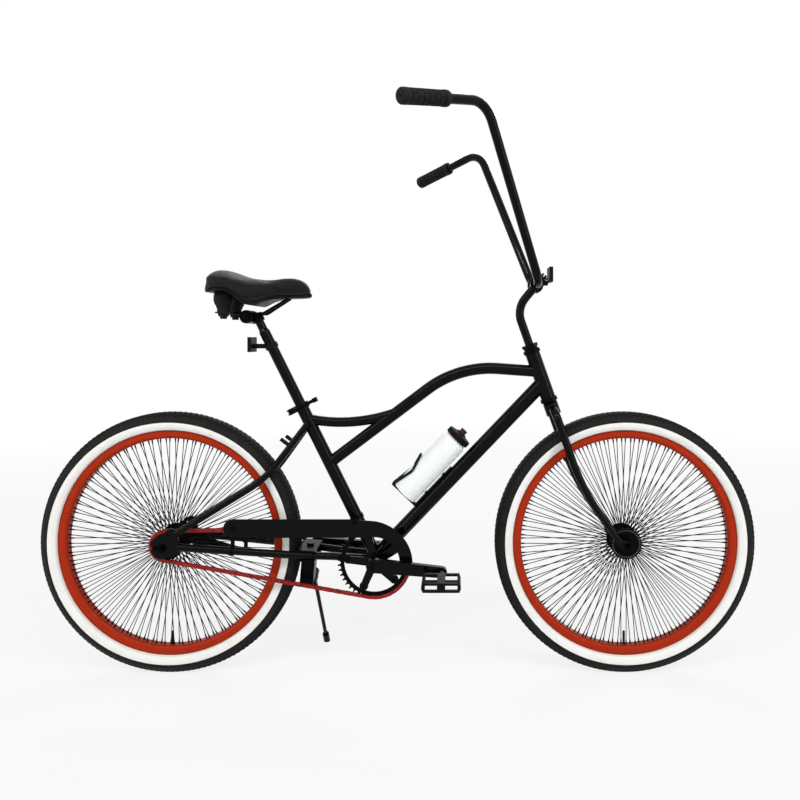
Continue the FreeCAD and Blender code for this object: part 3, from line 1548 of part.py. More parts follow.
# Chain guard: a long bar over the chain that ends in a round band over the front of the chainring
guard_place = Placement(across(shell, -size.guard_half), UPRIGHT)
guard_top = size.guard_bar_top
guard_low = guard_top - size.guard_bar_height
guard_rise = (size.guard_radius * size.guard_radius - size.guard_end_drop * size.guard_end_drop).root()
inner_square = size.guard_inner_radius * size.guard_inner_radius
inner_rise = (inner_square - size.guard_end_drop * size.guard_end_drop).root()
inner_back = (size.guard_inner_radius * size.guard_inner_radius - guard_low * guard_low).root()
guard_corner = math.radians(float(size.guard_corner_angle))
guard_points = [
    (guard_rise, -size.guard_end_drop, size.guard_radius),
    (
        size.guard_radius * math.cos(guard_corner), size.guard_radius * math.sin(guard_corner),
        size.guard_crest_radius,
    ),
    (0, size.guard_crest_height),
    (-size.guard_inner_radius, guard_top),
    (-size.guard_back + size.guard_rear_radius, guard_top, size.guard_rear_radius),
    (-size.guard_back, guard_top - size.guard_rear_radius, size.guard_rear_radius),
    (-size.guard_back + size.guard_rear_radius, guard_low),
    (-inner_back, guard_low, -size.guard_inner_radius),
    (inner_rise, -size.guard_end_drop),
]
strap_end = (-size.guard_back + size.guard_rear_radius, guard_top - size.guard_rear_radius)
seat_strap = on_seat(size.guard_seat_strap_distance) - shell
seat_strap_at = (Size(seat_strap.x, repr(seat_strap.x)), Size(seat_strap.z, repr(seat_strap.z)))
guard_holes = [strap_end + (size.guard_bolt_radius,), seat_strap_at + (size.guard_bolt_radius,)]
node(plate("guard_sheet", guard_points, size.guard_thickness, guard_place, guard_holes), "chain_guard")

guard_bolt_length = size.guard_thickness + size.seat_gap + size.strap_thickness
guard_outer_half = size.guard_half + size.guard_thickness


def guard_bolt(name, point):
    """A bolt through the guard at a point given forward of and above the bottom bracket."""
    head = across(shell + spot(point[0], 0, point[1]), -guard_outer_half - size.seat_gap)
    return bolt(
        name, size.guard_bolt_radius - size.seat_gap, guard_bolt_length, size.guard_bolt_head,
        size.guard_bolt_head_height, head, LEFT,
    )


def stay_clip(name, path_side, at_x, bar_half, end_height):
    """A band round a chain stay with a flat bar up or down to a given height, drilled near its end."""
    edge = max(chain_stay_path.Edges, key=lambda item: item.Length)
    first, last = edge.valueAt(edge.FirstParameter), edge.valueAt(edge.LastParameter)
    centre = first + (last - first) * ((at_x - first.x) / (last.x - first.x))
    along = (last - first).normalize()
    centre = Vector(centre.x, path_side * abs(centre.y), centre.z)
    along = Vector(along.x, path_side * abs(along.y), along.z)
    start = centre - along * float(size.strap_width / 2)
    band = cylinder(f"{name}_band", size.stay_radius + size.strap_thickness, size.strap_width, start, along)
    reach = Size(abs(end_height - centre.z), repr(abs(end_height - centre.z)))
    low = Vector(centre.x, float(bar_half), min(end_height, centre.z))
    if end_height < centre.z:
        low = low - UP * float(size.strap_width / 2)
    bar = box(f"{name}_bar", size.strap_width, size.strap_thickness, reach + size.strap_width / 2,
              Placement(low, Rotation()))
    stay_start = start - along * float(size.overrun)
    stay_hole = cylinder(
        f"{name}_stay", size.stay_radius + size.seat_gap, size.strap_width + 2 * size.overrun,
        stay_start, along
    )
    hole_start = Vector(centre.x, float(bar_half) - float(size.strap_width), end_height)
    hole = cylinder(f"{name}_hole", size.guard_bolt_radius, 2 * size.strap_width, hole_start, LEFT)
    return cut(name, fused(f"{name}_blank", band, bar), stay_hole, hole)


strap_point = guard_place.multVec(spot(strap_end[0], strap_end[1], 0))
strap_bar_half = -size.guard_half + size.seat_gap + size.strap_thickness / 2
guard_clip = stay_clip("guard_clip", -1, strap_point.x, strap_bar_half, strap_point.z)
seat_band_start = on_seat(size.guard_seat_strap_distance - size.strap_width / 2)
seat_band = cylinder(
    "seat_band", size.seat_tube_radius + size.strap_thickness, size.strap_width, seat_band_start, seat_way
)
seat_tab_start = across(on_seat(size.guard_seat_strap_distance), -size.seat_tube_radius)
seat_tab_length = size.guard_half - size.seat_tube_radius - size.seat_gap
seat_tab = cylinder("seat_tab", size.guard_tab_radius, seat_tab_length, seat_tab_start, -LEFT)
seat_band_hole = cylinder(
    "seat_band_hole", size.seat_tube_radius + size.seat_gap, size.strap_width + 2 * size.overrun,
    seat_band_start - seat_way * float(size.overrun), seat_way,
)
tab_hole_start = across(on_seat(size.guard_seat_strap_distance), -size.guard_half)
tab_hole = cylinder("tab_hole", size.guard_bolt_radius, guard_bolt_length, tab_hole_start, LEFT)
seat_clip = cut("seat_clip", fused("seat_clip_blank", seat_band, seat_tab), seat_band_hole, tab_hole)
guard_fixings = [
    guard_clip, seat_clip, guard_bolt("rear_guard_bolt", strap_end),
    guard_bolt("front_guard_bolt", seat_strap_at),
]

# Coaster brake arm on the left side, clipped to the left chain stay
arm_turn = Rotation(LEFT, float(size.arm_drop_angle)).multiply(UPRIGHT)
arm_place = Placement(across(rear_axle, size.arm_half + size.arm_thickness), arm_turn)
arm_bore = size.cone_shoulder_radius + size.seat_gap
arm_points = link_outline(size.arm_root_radius, size.arm_end_radius, size.arm_length)
arm_holes = [(0, 0, arm_bore), (size.arm_length, 0, size.arm_bolt_radius)]
arm_sheet = plate("arm_sheet", arm_points, size.arm_thickness, arm_place, arm_holes)
arm_end = arm_place.multVec(spot(size.arm_length, 0, 0))
arm_bar_half = size.arm_half + size.arm_thickness + size.seat_gap + size.strap_thickness / 2
arm_clip = stay_clip("arm_clip", 1, arm_end.x, arm_bar_half, arm_end.z)
arm_bolt = bolt(
    "arm_bolt", size.arm_bolt_radius - size.seat_gap,
    size.arm_thickness + size.strap_thickness + size.seat_gap,
    size.guard_bolt_head, size.guard_bolt_head_height,
    across(arm_end, size.strap_thickness + 2 * size.seat_gap), -LEFT,
)
node(together("brake_arm_group", arm_sheet, arm_clip, arm_bolt), "brake_arm")

# Kickstand: a clamp under the chain stays, and a leg that folds back on a tilted pin
stay_line = on_chain_stay(size.stand_back, 0)
stay_slope = math.degrees(
    math.atan2(chain_stay_end.z - chain_stay_start.z, chain_stay_start.x - chain_stay_end.x),
)
stand_turn = Rotation(LEFT, stay_slope)
stand_up = stand_turn.multVec(UP)
plate_level = size.stay_radius + size.seat_gap


def on_stand(rise):
    """A placement on the line between the chain stays, tilted with them and raised."""
    return Placement(stay_line + stand_up * float(rise), stand_turn)


top_plate = box(
    "stand_top_plate", size.stand_plate_length, size.stand_plate_width, size.stand_plate_thickness,
    on_stand(plate_level),
)
low_plate = box(
    "stand_low_plate", size.stand_plate_length, size.stand_plate_width, size.stand_plate_thickness,
    on_stand(-plate_level - size.stand_plate_thickness),
)
block_low = -plate_level - size.stand_plate_thickness - size.stand_block_height
block = box(
    "stand_block", size.stand_block_length, size.stand_block_width,
    size.stand_block_height + size.stand_plate_thickness / 2,
    on_stand(block_low),
)
stand_tilt = math.radians(float(size.stand_tilt_angle))
stand_axis = Vector(0, math.cos(stand_tilt), math.sin(stand_tilt))
stand_pivot = Vector(stay_line.x, float(size.stand_pivot_half), float(size.stand_pivot_height))
hub_inner = stand_pivot - stand_axis * float(size.stand_hub_length / 2)
boss_end = hub_inner - stand_axis * float(size.running_gap)
stand_boss = cylinder("stand_boss", size.stand_boss_radius, size.stand_boss_length, boss_end, -stand_axis)
pin_hole = cylinder(
    "stand_pin_hole", size.stand_pin_radius + size.seat_gap, size.stand_boss_length,
    boss_end + stand_axis * float(size.overrun), -stand_axis,
)
stand_bolt_hole = cylinder(
    "stand_bolt_hole", size.stand_bolt_radius + size.seat_gap, size.stand_bolt_length + size.overrun,
    stay_line + stand_up * float(plate_level + size.stand_plate_thickness + size.overrun), -stand_up,
)
stand_bracket = cut(
    "stand_bracket", fused("stand_casting", low_plate, block, stand_boss), pin_hole,
    stand_bolt_hole,
)
node(
    together("kickstand_bracket_group", cut("stand_lid", top_plate, stand_bolt_hole), stand_bracket),
    "kickstand_bracket",
)
stand_bolt = bolt(
    "stand_bolt", size.stand_bolt_radius, size.stand_bolt_length - size.overrun,
    size.stand_bolt_head_radius,
    size.bolt_head_height,
    stay_line + stand_up * float(plate_level + size.stand_plate_thickness + size.seat_gap), -stand_up,
)
hub_outer = stand_pivot + stand_axis * float(size.stand_hub_length / 2)
stand_pin = bolt(
    "stand_pin", size.stand_pin_radius, size.stand_hub_length + size.stand_boss_length - 2 * size.overrun,
    size.stand_pin_head_radius, size.stand_pin_head_height,
    hub_outer + stand_axis * float(size.running_gap), -stand_axis,
)
foot_point = Vector(stand_pivot.x + float(size.stand_foot_forward), float(size.stand_foot_half), 0)
leg_way = (foot_point - stand_pivot).normalize()
leg_length = (foot_point - stand_pivot).Length
leg_path = Part.Wire([Part.LineSegment(stand_pivot, foot_point).toShape()])
leg_rod = swept("leg_rod", leg_path, size.stand_leg_radius)
leg_hub = cylinder("leg_hub", size.stand_hub_radius, size.stand_hub_length, hub_inner, stand_axis)
foot_cap = cylinder(
    "foot_cap", size.stand_foot_radius, size.stand_foot_length + size.stand_foot_overrun,
    foot_point - leg_way * float(size.stand_foot_length), leg_way,
)
leg_bore = cylinder(
    "leg_bore", size.stand_pin_radius + size.running_gap, size.stand_hub_length + 2 * size.overrun,
    hub_inner - stand_axis * float(size.overrun), stand_axis,
)
ground_size = 8 * size.stand_foot_radius
ground = box(
    "ground_trim", ground_size, ground_size, ground_size,
    Placement(foot_point - UP * float(ground_size), Rotation()),
)
leg_blank = fused("leg_blank", leg_rod, leg_hub, foot_cap)
node(cut("kickstand_part", leg_blank, leg_bore, ground), "kickstand_leg")

# Seat collar with its skewer and lever
collar_start = on_seat(size.seat_tube_length - size.collar_height)
collar_outer = size.seat_tube_radius + size.collar_wall
ear_reach = collar_outer + size.collar_ear_length
ear_half = size.collar_ear_width + size.collar_slit / 2
rearward = -seat_normal
collar_turn = Rotation(rearward, seat_way.cross(rearward), seat_way, "ZXY")
collar_ring = cylinder("collar_ring", collar_outer, size.collar_height, collar_start, seat_way)
ear_middle = Placement(collar_start + rearward * float(ear_reach / 2), collar_turn)
collar_ears = box("collar_ears", ear_reach, 2 * ear_half, size.collar_height, ear_middle)
slit_middle = Placement(
    collar_start + rearward * float(ear_reach / 2) - seat_way * float(size.overrun), collar_turn,
)
collar_slit = box(
    "collar_slit", ear_reach + size.overrun, size.collar_slit,
    size.collar_height + 2 * size.overrun, slit_middle
)
collar_hole = cylinder(
    "collar_hole", size.seat_tube_radius + size.seat_gap, size.collar_height + 2 * size.overrun,
    collar_start - seat_way * float(size.overrun), seat_way,
)
skewer_back = collar_outer + size.collar_ear_length / 2
skewer_point = collar_start + seat_way * float(size.collar_height / 2) + rearward * float(skewer_back)
skewer_hole = cylinder(
    "skewer_hole", size.skewer_radius + size.seat_gap, 2 * (ear_half + size.overrun),
    across(skewer_point, ear_half + size.overrun), -LEFT,
)
collar_blank = fused("collar_blank", collar_ring, collar_ears)
node(cut("seat_collar", collar_blank, collar_hole, collar_slit, skewer_hole), "seat_clamp_collar")
cam_half = collar_outer + size.lever_radius + size.lever_gap
cup_length = cam_half - size.cam_radius - size.running_gap - ear_half - size.seat_gap
skewer_nut_half = ear_half + size.seat_gap + size.skewer_nut_width
skewer = cylinder(
    "skewer_rod", size.skewer_radius, skewer_nut_half + cam_half,
    across(skewer_point, skewer_nut_half), -LEFT
)
skewer_nut = cylinder(
    "skewer_nut", size.skewer_nut_radius, size.skewer_nut_width,
    across(skewer_point, skewer_nut_half), -LEFT
)
cam_point = across(skewer_point, -cam_half)
cam_reach = size.cam_half_gap + size.cam_thickness
cam_pin = cylinder(
    "cam_pin", size.cam_pin_radius, 2 * cam_reach, cam_point - seat_way * float(cam_reach), seat_way
)
skewer_cup = cylinder(
    "skewer_cup", size.skewer_nut_radius, cup_length, across(skewer_point, -ear_half - size.seat_gap), -LEFT
)
skewer_set = fused("skewer_set", skewer, skewer_nut, skewer_cup, cam_pin)
cam_gap = seat_way * float(size.cam_half_gap)
cams = [
    cylinder("upper_cam", size.cam_radius, size.cam_thickness, cam_point + cam_gap, seat_way),
    cylinder("lower_cam", size.cam_radius, size.cam_thickness, cam_point - cam_gap, -seat_way),
]
lever_rod = cylinder(
    "lever_rod", size.lever_radius, size.lever_length,
    cam_point + seat_normal * float(size.lever_start), seat_normal
)
lever_tip = cylinder(
    "lever_tip", size.lever_tip_radius, 2 * size.lever_tip_radius,
    cam_point + seat_normal * float(size.lever_start + size.lever_length - size.lever_tip_radius),
    seat_normal,
)
cam_bore = cylinder(
    "cam_bore", size.cam_pin_radius + size.running_gap, 2 * (cam_reach + size.overrun),
    cam_point - seat_way * float(cam_reach + size.overrun), seat_way,
)
node(cut("lever_part", fused("lever_blank", *cams, lever_rod, lever_tip), cam_bore), "clamp_lever")

# Seat post and saddle
post_start = on_seat(size.seat_tube_length - size.post_insert)
post_inner, neck_inner = size.post_radius - size.post_wall, size.post_neck_radius - size.post_wall
neck_start = size.post_length - size.post_neck_length
post_points = [
    (post_inner, 0),
    (size.post_radius, 0),
    (size.post_radius, neck_start - size.post_taper),
    (size.post_neck_radius, neck_start),
    (size.post_neck_radius, size.post_length),
    (neck_inner, size.post_length),
    (neck_inner, neck_start),
    (post_inner, neck_start - size.post_taper),
]
node(turned("post_tube", post_points, post_start, seat_way), "seat_post")
post_top = post_start + seat_way * float(size.post_length)

# Sections of the saddle from the rear to the nose, as shares of its length, half width and height:
# how far back, half width, crown height, edge height, and how far the crown falls to the side.
SADDLE_SHARES = [
    (1.000, 0.44, 0.76, 0.47, 0.13),
    (0.950, 0.80, 0.92, 0.42, 0.22),
    (0.880, 0.97, 1.00, 0.40, 0.26),
    (0.715, 1.00, 0.90, 0.38, 0.27),
    (0.570, 0.76, 0.75, 0.07, 0.20),
    (0.430, 0.50, 0.72, 0.16, 0.17),
    (0.285, 0.34, 0.78, 0.25, 0.17),
    (0.140, 0.27, 0.775, 0.27, 0.18),
    (0.050, 0.20, 0.66, 0.28, 0.14),
    (0.000, 0.09, 0.46, 0.32, 0.04),
]
saddle_nose_x = shell.x - float(size.saddle_back)
saddle_foot = float(size.saddle_crown_height - size.saddle_height)


def saddle_wire(back, half, low, side, crown):
    """A closed section across the saddle: a flat underside, two upright edges and an arched top."""
    corners = [
        Vector(back, -half, low), Vector(back, half, low), Vector(back, half, side),
        Vector(back, -half, side),
    ]
    edges = [
        Part.LineSegment(corners[0], corners[1]).toShape(),
        Part.LineSegment(corners[1], corners[2]).toShape(),
        Part.Arc(corners[2], Vector(back, 0, crown), corners[3]).toShape(),
        Part.LineSegment(corners[3], corners[0]).toShape(),
    ]
    return Part.Wire(edges)


def loft(name, wires):
    item = doc.addObject("Part::Loft", name)
    item.Sections = [solid(f"{name}_section_{number}", wire) for number, wire in enumerate(wires)]
    item.Solid = True
    return item


cushion_wires, base_wires = [], []
for back_share, half_share, crown_share, edge_share, fall_share in SADDLE_SHARES:
    back = saddle_nose_x - back_share * float(size.saddle_length)
    half = half_share * float(size.saddle_half_width)
    crown = saddle_foot + crown_share * float(size.saddle_height)
    edge = saddle_foot + edge_share * float(size.saddle_height)
    fall = fall_share * float(size.saddle_height)
    cushion_wires.append(saddle_wire(back, half, edge, crown - fall, crown))
    base_top = edge - float(size.seat_gap)
    base_low = base_top - float(size.saddle_base_thickness)
    inset = half - min(float(size.saddle_base_inset), half / 2)
    bulge = float(size.seat_gap)
    base_wires.append(saddle_wire(back, inset, base_low, base_top - bulge, base_top))
cushion = node(loft("cushion_loft", cushion_wires), "saddle_cushion")
base_blank = cut("base_blank", loft("base_loft", base_wires), cushion)

clamp_centre = post_top + spot(-size.saddle_clamp_back, 0, -size.saddle_clamp_drop)
rail_level = clamp_centre + UP * float(size.rail_rise)
cup_centre = clamp_centre + spot(-size.elastomer_back, -size.elastomer_half, 0)
rail_points = [
    Vector(cup_centre.x, cup_centre.y, rail_level.z),
    across(rail_level - FORWARD * float(size.rail_flat_back), -size.rail_half),
    across(rail_level + FORWARD * float(size.rail_flat_forward), -size.rail_half),
    across(rail_level + spot(size.rail_nose_forward, 0, size.rail_nose_rise), -size.rail_nose_half),
]
rail_path = rounded_path(rail_points, [size.rail_bend_radius, size.rail_bend_radius])
rail_rod = swept("rail_rod", rail_path, size.rail_radius)
cup_low = Vector(
    cup_centre.x, cup_centre.y,
    rail_level.z - float(size.elastomer_cup_height - size.elastomer_cup_drop),
)
cup = cylinder("elastomer_cup", size.elastomer_cup_radius, size.elastomer_cup_height, cup_low, UP)
cup_nut = cylinder("elastomer_nut", size.elastomer_nut_radius, size.elastomer_nut_height, cup_low, -UP)
elastomer_low = cup_low.z + float(size.elastomer_cup_height)
elastomer_roof = cushion_wires[2].BoundBox.ZMin - float(size.saddle_base_thickness / 2)
elastomer_length = Size(elastomer_roof - elastomer_low, repr(elastomer_roof - elastomer_low))
elastomer_rod = cylinder(
    "elastomer_rod", size.elastomer_radius, elastomer_length,
    cup_low + UP * float(size.elastomer_cup_height), UP
)
elastomer = cut("elastomer", elastomer_rod, base_blank)
cup_part = fused("cup_part", cup, cup_nut)
rail = cut("saddle_rail", rail_rod, cup)
node(pair("saddle_rails_group", rail), "saddle_rails")
node(
    together("saddle_elastomers_group", pair("elastomers", elastomer), pair("cups", cup_part)),
    "saddle_elastomers",
)
rails_tool = pair("rails_tool", rail_rod)
node(cut("saddle_base_part", base_blank, rails_tool), "saddle_base")

clamp_bar = cylinder(
    "clamp_bar", size.saddle_clamp_radius, 2 * size.saddle_clamp_half,
    across(clamp_centre, size.saddle_clamp_half), -LEFT
)
clamp_ring_height = size.post_neck_length / 2
clamp_ring = cylinder(
    "clamp_ring", size.post_radius + size.collar_wall / 2, clamp_ring_height,
    post_top - seat_way * float(clamp_ring_height), seat_way,
)
neck_tool = cylinder(
    "neck_tool", size.post_neck_radius, 2 * size.post_neck_length,
    post_top - seat_way * float(size.post_neck_length),
    seat_way,
)
clamp_bolt_hole = cylinder(
    "clamp_bolt_hole", size.saddle_clamp_bolt_radius, 2 * (size.saddle_clamp_half + size.overrun),
    across(clamp_centre, size.saddle_clamp_half + size.overrun), -LEFT,
)
clamp_solid = fused("clamp_solid", clamp_bar, clamp_ring)
clamp_part = cut("clamp_part", clamp_solid, neck_tool, rails_tool, clamp_bolt_hole)
clamp_bolt_half = size.saddle_clamp_half + size.seat_gap
clamp_bolt = bolt(
    "clamp_bolt", size.saddle_clamp_bolt_radius, 2 * clamp_bolt_half, size.saddle_clamp_bolt_head,
    size.bolt_head_height,
    across(clamp_centre, -clamp_bolt_half), LEFT,
)
clamp_nut = cylinder(
    "clamp_nut", size.saddle_clamp_bolt_head, size.bolt_head_height,
    across(clamp_centre, clamp_bolt_half), LEFT
)
node(together("saddle_clamp_group", clamp_part, clamp_bolt, clamp_nut), "saddle_clamp")


# Reflectors
def reflector(name, middle, facing, arm, holder, holder_hole):
    """A lens in a shallow shell that is carried by an arm on a holder band."""
    back = middle - facing * float(size.reflector_depth / 2)
    turn = Rotation(LEFT.cross(facing), LEFT, facing, "ZXY")
    shell_blank = box(
        f"{name}_shell_blank", size.reflector_height, size.reflector_width, size.reflector_depth, Placement(
            back, turn,
        )
    )
    lens_back = Placement(back + facing * float(size.reflector_shell), turn)
    lens_height = size.reflector_height - 2 * size.reflector_shell
    lens_width = size.reflector_width - 2 * size.reflector_shell
    pocket = box(f"{name}_pocket", lens_height, lens_width, size.reflector_depth, lens_back)
    blank = fused(f"{name}_bracket_blank", shell_blank, arm, holder)
    node(cut(f"{name}_bracket_part", blank, pocket, holder_hole), f"{name}_bracket")
    lens_gap = 2 * size.seat_gap
    lens_depth = size.reflector_depth - size.reflector_shell
    node(box(f"{name}_lens", lens_height - lens_gap, lens_width - lens_gap, lens_depth, lens_back), name)


band_point = on_seat(size.rear_reflector_distance)
band_start = band_point - seat_way * float(size.reflector_strap_width / 2)
post_band = cylinder(
    "post_band", size.post_radius + size.reflector_strap, size.reflector_strap_width, band_start, seat_way
)
post_band_hole = cylinder(
    "post_band_hole", size.post_radius + size.seat_gap, 5 * size.reflector_strap_width,
    band_start - seat_way * float(2 * size.reflector_strap_width), seat_way,
)
rear_middle = band_point + spot(-size.rear_reflector_back, 0, size.rear_reflector_rise)
rear_arm_reach = size.rear_reflector_back - size.reflector_depth / 2 + size.reflector_shell / 2
rear_arm = box(
    "rear_arm", rear_arm_reach, size.reflector_strap_width, size.reflector_strap_width,
    Placement(band_point - spot(rear_arm_reach / 2, 0, size.reflector_strap_width / 2), Rotation()),
)
reflector("rear_reflector", rear_middle, -FORWARD, rear_arm, post_band, post_band_hole)

clamp_band_point = across(bar_centre, size.front_reflector_side)
clamp_band = cylinder(
    "clamp_band", size.clamp_radius + size.reflector_strap, size.strap_width,
    across(clamp_band_point, -size.strap_width / 2), LEFT,
)
clamp_band_hole = cylinder(
    "clamp_band_hole", size.clamp_radius + size.seat_gap, size.strap_width + 2 * size.overrun,
    across(clamp_band_point, -size.strap_width / 2 - size.overrun), LEFT,
)
front_middle = bar_centre + spot(size.front_reflector_forward, 0, size.front_reflector_rise)
front_arm_reach = size.front_reflector_forward - size.reflector_depth / 2 + size.reflector_shell / 2
front_arm = box(
    "front_arm", front_arm_reach, size.strap_width, size.reflector_strap_width,
    Placement(clamp_band_point + FORWARD * float(front_arm_reach / 2), Rotation()),
)
reflector("front_reflector", front_middle, FORWARD, front_arm, clamp_band, clamp_band_hole)


# Bottle and its cage on the down tube
def on_down(along, off, half=0):
    """A point given along the down tube, off it upwards, and to the side."""
    return shell + down_way * float(along) + down_normal * float(off) + LEFT * float(half)


bottle_start = size.bottle_start_share * (size.top_tube_bend_height - size.shell_height)
bottle_foot = on_down(bottle_start, size.bottle_offset)
body_length = size.bottle_length
neck_low = body_length - size.bottle_wall
bottle_points = [
    (0, 0),
    (size.bottle_radius, 0),
    (size.bottle_radius, body_length - size.bottle_shoulder),
    (size.bottle_neck_radius, body_length),
    (size.bottle_neck_radius, body_length + size.bottle_neck_length),
    (size.bottle_neck_radius - size.bottle_wall, body_length + size.bottle_neck_length),
    (size.bottle_neck_radius - size.bottle_wall, neck_low),
    (size.bottle_radius - size.bottle_wall, body_length - size.bottle_shoulder - size.bottle_wall),
    (size.bottle_radius - size.bottle_wall, size.bottle_wall),
    (0, size.bottle_wall),
]
node(turned("bottle_body", bottle_points, bottle_foot, down_way), "bottle")
cap_low = body_length + size.seat_gap
cap_top = cap_low + size.cap_height
cap_roof = cap_top - size.cap_wall
neck_fit = size.bottle_neck_radius + size.seat_gap
spout_bore = size.spout_radius - size.spout_wall
cap_points = [
    (neck_fit, cap_low),
    (size.cap_radius, cap_low),
    (size.cap_radius, cap_top),
    (size.spout_radius, cap_top),
    (size.spout_radius, cap_top + size.spout_length),
    (spout_bore, cap_top + size.spout_length),
    (spout_bore, cap_roof),
    (neck_fit, cap_roof),
]
node(turned("cap_body", cap_points, bottle_foot, down_way), "bottle_cap")
nozzle_low = cap_top + size.running_gap
nozzle_top = nozzle_low + size.nozzle_length
nozzle_roof = cap_top + size.spout_length + size.running_gap
nozzle_fit = size.spout_radius + size.running_gap
nozzle_points = [
    (nozzle_fit, nozzle_low),
    (size.nozzle_radius, nozzle_low),
    (size.nozzle_radius, nozzle_top),
    (size.nozzle_bore, nozzle_top),
    (size.nozzle_bore, nozzle_roof),
    (nozzle_fit, nozzle_roof),
]
node(turned("nozzle_body", nozzle_points, bottle_foot, down_way), "bottle_nozzle")

cage_turn = Rotation(down_way, LEFT, down_normal, "ZXY")
cage_low = bottle_start - size.cage_gap
plate_off = size.down_tube_radius + size.seat_gap
plate_middle = cage_low - 2 * size.cage_rod_radius + size.cage_plate_length / 2
cage_plate = box(
    "cage_plate", size.cage_plate_length, size.cage_plate_width, size.cage_plate_thickness,
    Placement(on_down(plate_middle, plate_off), cage_turn),
)
rod_reach = size.bottle_radius + size.cage_gap + 1.5 * size.cage_rod_radius
shelf_length = size.bottle_offset + rod_reach - plate_off
shelf_turn = Rotation(down_normal, LEFT, -down_way, "ZXY")
cage_shelf = box(
    "cage_shelf", shelf_length, size.cage_plate_width, 2 * size.cage_rod_radius,
    Placement(on_down(cage_low, plate_off + shelf_length / 2), shelf_turn),
)


def around_bottle(along, angle):
    """A point on the cage wire: along the down tube, and turned round the bottle from its outer side."""
    turn = math.radians(float(angle))
    off = float(size.bottle_offset) + float(rod_reach) * math.cos(turn)
    return on_down(along, off, -float(rod_reach) * math.sin(turn))


loop_low = around_bottle(cage_low - size.cage_rod_radius, size.cage_loop_angle)
loop_knee = around_bottle(cage_low + size.cage_knee_rise, size.cage_knee_angle)
loop_high = around_bottle(cage_low + size.cage_loop_rise, size.cage_loop_angle)
loop_line = [loop_low, loop_knee, loop_high]
loop_line += [other_side(point) for point in reversed(loop_line)]
loop_bends = [size.cage_knee_radius, size.cage_loop_radius, size.cage_loop_radius, size.cage_knee_radius]
cage_loop = swept("cage_loop", rounded_path(loop_line, loop_bends), size.cage_rod_radius)
cage_bolts, cage_bolt_holes = [], []
for number in range(2):
    along = bottle_start + size.cage_bolt_start + size.cage_bolt_spacing * number
    head = on_down(along, plate_off + size.cage_plate_thickness + size.seat_gap)
    cage_bolts.append(bolt(
        f"cage_bolt_{number}", size.cage_bolt_radius - size.seat_gap,
        size.cage_plate_thickness + size.seat_gap,
        size.cage_bolt_head, size.cage_bolt_head_height, head, -down_normal,
    ))
    hole_start = on_down(along, plate_off + size.cage_plate_thickness + size.overrun)
    cage_bolt_holes.append(cylinder(
        f"cage_bolt_hole_{number}", size.cage_bolt_radius,
        size.cage_plate_thickness + 2 * size.overrun, hole_start,
        -down_normal,
    ))
cage_blank = fused("cage_blank", cage_plate, cage_shelf, cage_loop)
node(cut("cage_part", cage_blank, down_outer, *cage_bolt_holes), "bottle_cage")
node(
    together("frame_fixings", *cage_bolts, *guard_fixings, stand_bolt, stand_pin, skewer_set),
    "frame_fixings",
)

doc.recompute()
faults = []
for item in doc.Objects:
    if "Invalid" in item.State or "Error" in item.State:
        faults.append(f"{item.Name}: {item.State}")
for item in nodes:
    if item.Shape.isNull() or not item.Shape.isValid() or not item.Shape.Solids:
        faults.append(f"{item.Label}: shape")
if faults:
    raise RuntimeError("; ".join(faults))
os.makedirs("parts", exist_ok=True)
for item in nodes:
    item.Shape.exportStep(f"parts/{item.Label}.step")
print(len(nodes), "sub-parts written")
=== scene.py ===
# %% [markdown]
# A beach cruiser with tall handlebars, dressed for the camera. The solids of the bicycle come from the
# part's own source and already stand in one frame: X points forward, Y to the rider's left, Z up, in
# metres. They could all be modelled again here, but the lesson keeps every solid that is right as it is and
# gives it a finish. It makes anew only the pieces whose real surface is finer than a solid: tyres with
# tread, grips with pads, rubber springs, the saddle's padding and the knurled bottle cap. It also adds
# nipples and spoke heads, the saddle's welt and the studs of the pedals.

# %% Load the solids
import json
import math
import bmesh
import bpy
import numpy as np
from mathutils.bvhtree import BVHTree
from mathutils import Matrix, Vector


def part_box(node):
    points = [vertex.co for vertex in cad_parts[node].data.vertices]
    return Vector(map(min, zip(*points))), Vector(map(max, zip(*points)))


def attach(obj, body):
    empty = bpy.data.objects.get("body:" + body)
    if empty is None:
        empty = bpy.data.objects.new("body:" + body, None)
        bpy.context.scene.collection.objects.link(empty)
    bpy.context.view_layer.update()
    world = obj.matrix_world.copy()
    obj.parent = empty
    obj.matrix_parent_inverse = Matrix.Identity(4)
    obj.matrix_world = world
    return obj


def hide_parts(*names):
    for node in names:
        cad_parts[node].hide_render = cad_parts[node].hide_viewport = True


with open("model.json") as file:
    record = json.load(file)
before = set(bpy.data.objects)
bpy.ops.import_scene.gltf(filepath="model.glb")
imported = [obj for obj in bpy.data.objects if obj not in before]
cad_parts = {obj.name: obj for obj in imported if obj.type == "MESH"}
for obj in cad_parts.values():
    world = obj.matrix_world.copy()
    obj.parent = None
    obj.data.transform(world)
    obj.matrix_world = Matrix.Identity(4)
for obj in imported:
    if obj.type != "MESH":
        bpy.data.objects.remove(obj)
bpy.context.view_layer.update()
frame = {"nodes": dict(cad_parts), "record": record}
solids = frame["nodes"]
scene = bpy.context.scene
scene.view_settings.view_transform = "Standard"
MM = 0.001

# %% [markdown]
# The photograph was taken from the drive side by a level camera, a little lower than the saddle. The upright
# lines stay upright in it, so the camera isn't tilted: the picture's frame is shifted instead. A long lens
# from far away would be simpler, but a lens of about 31 mm at 1.75 m gives the same spread between the near
# and the far handlebar grip as in the photograph.

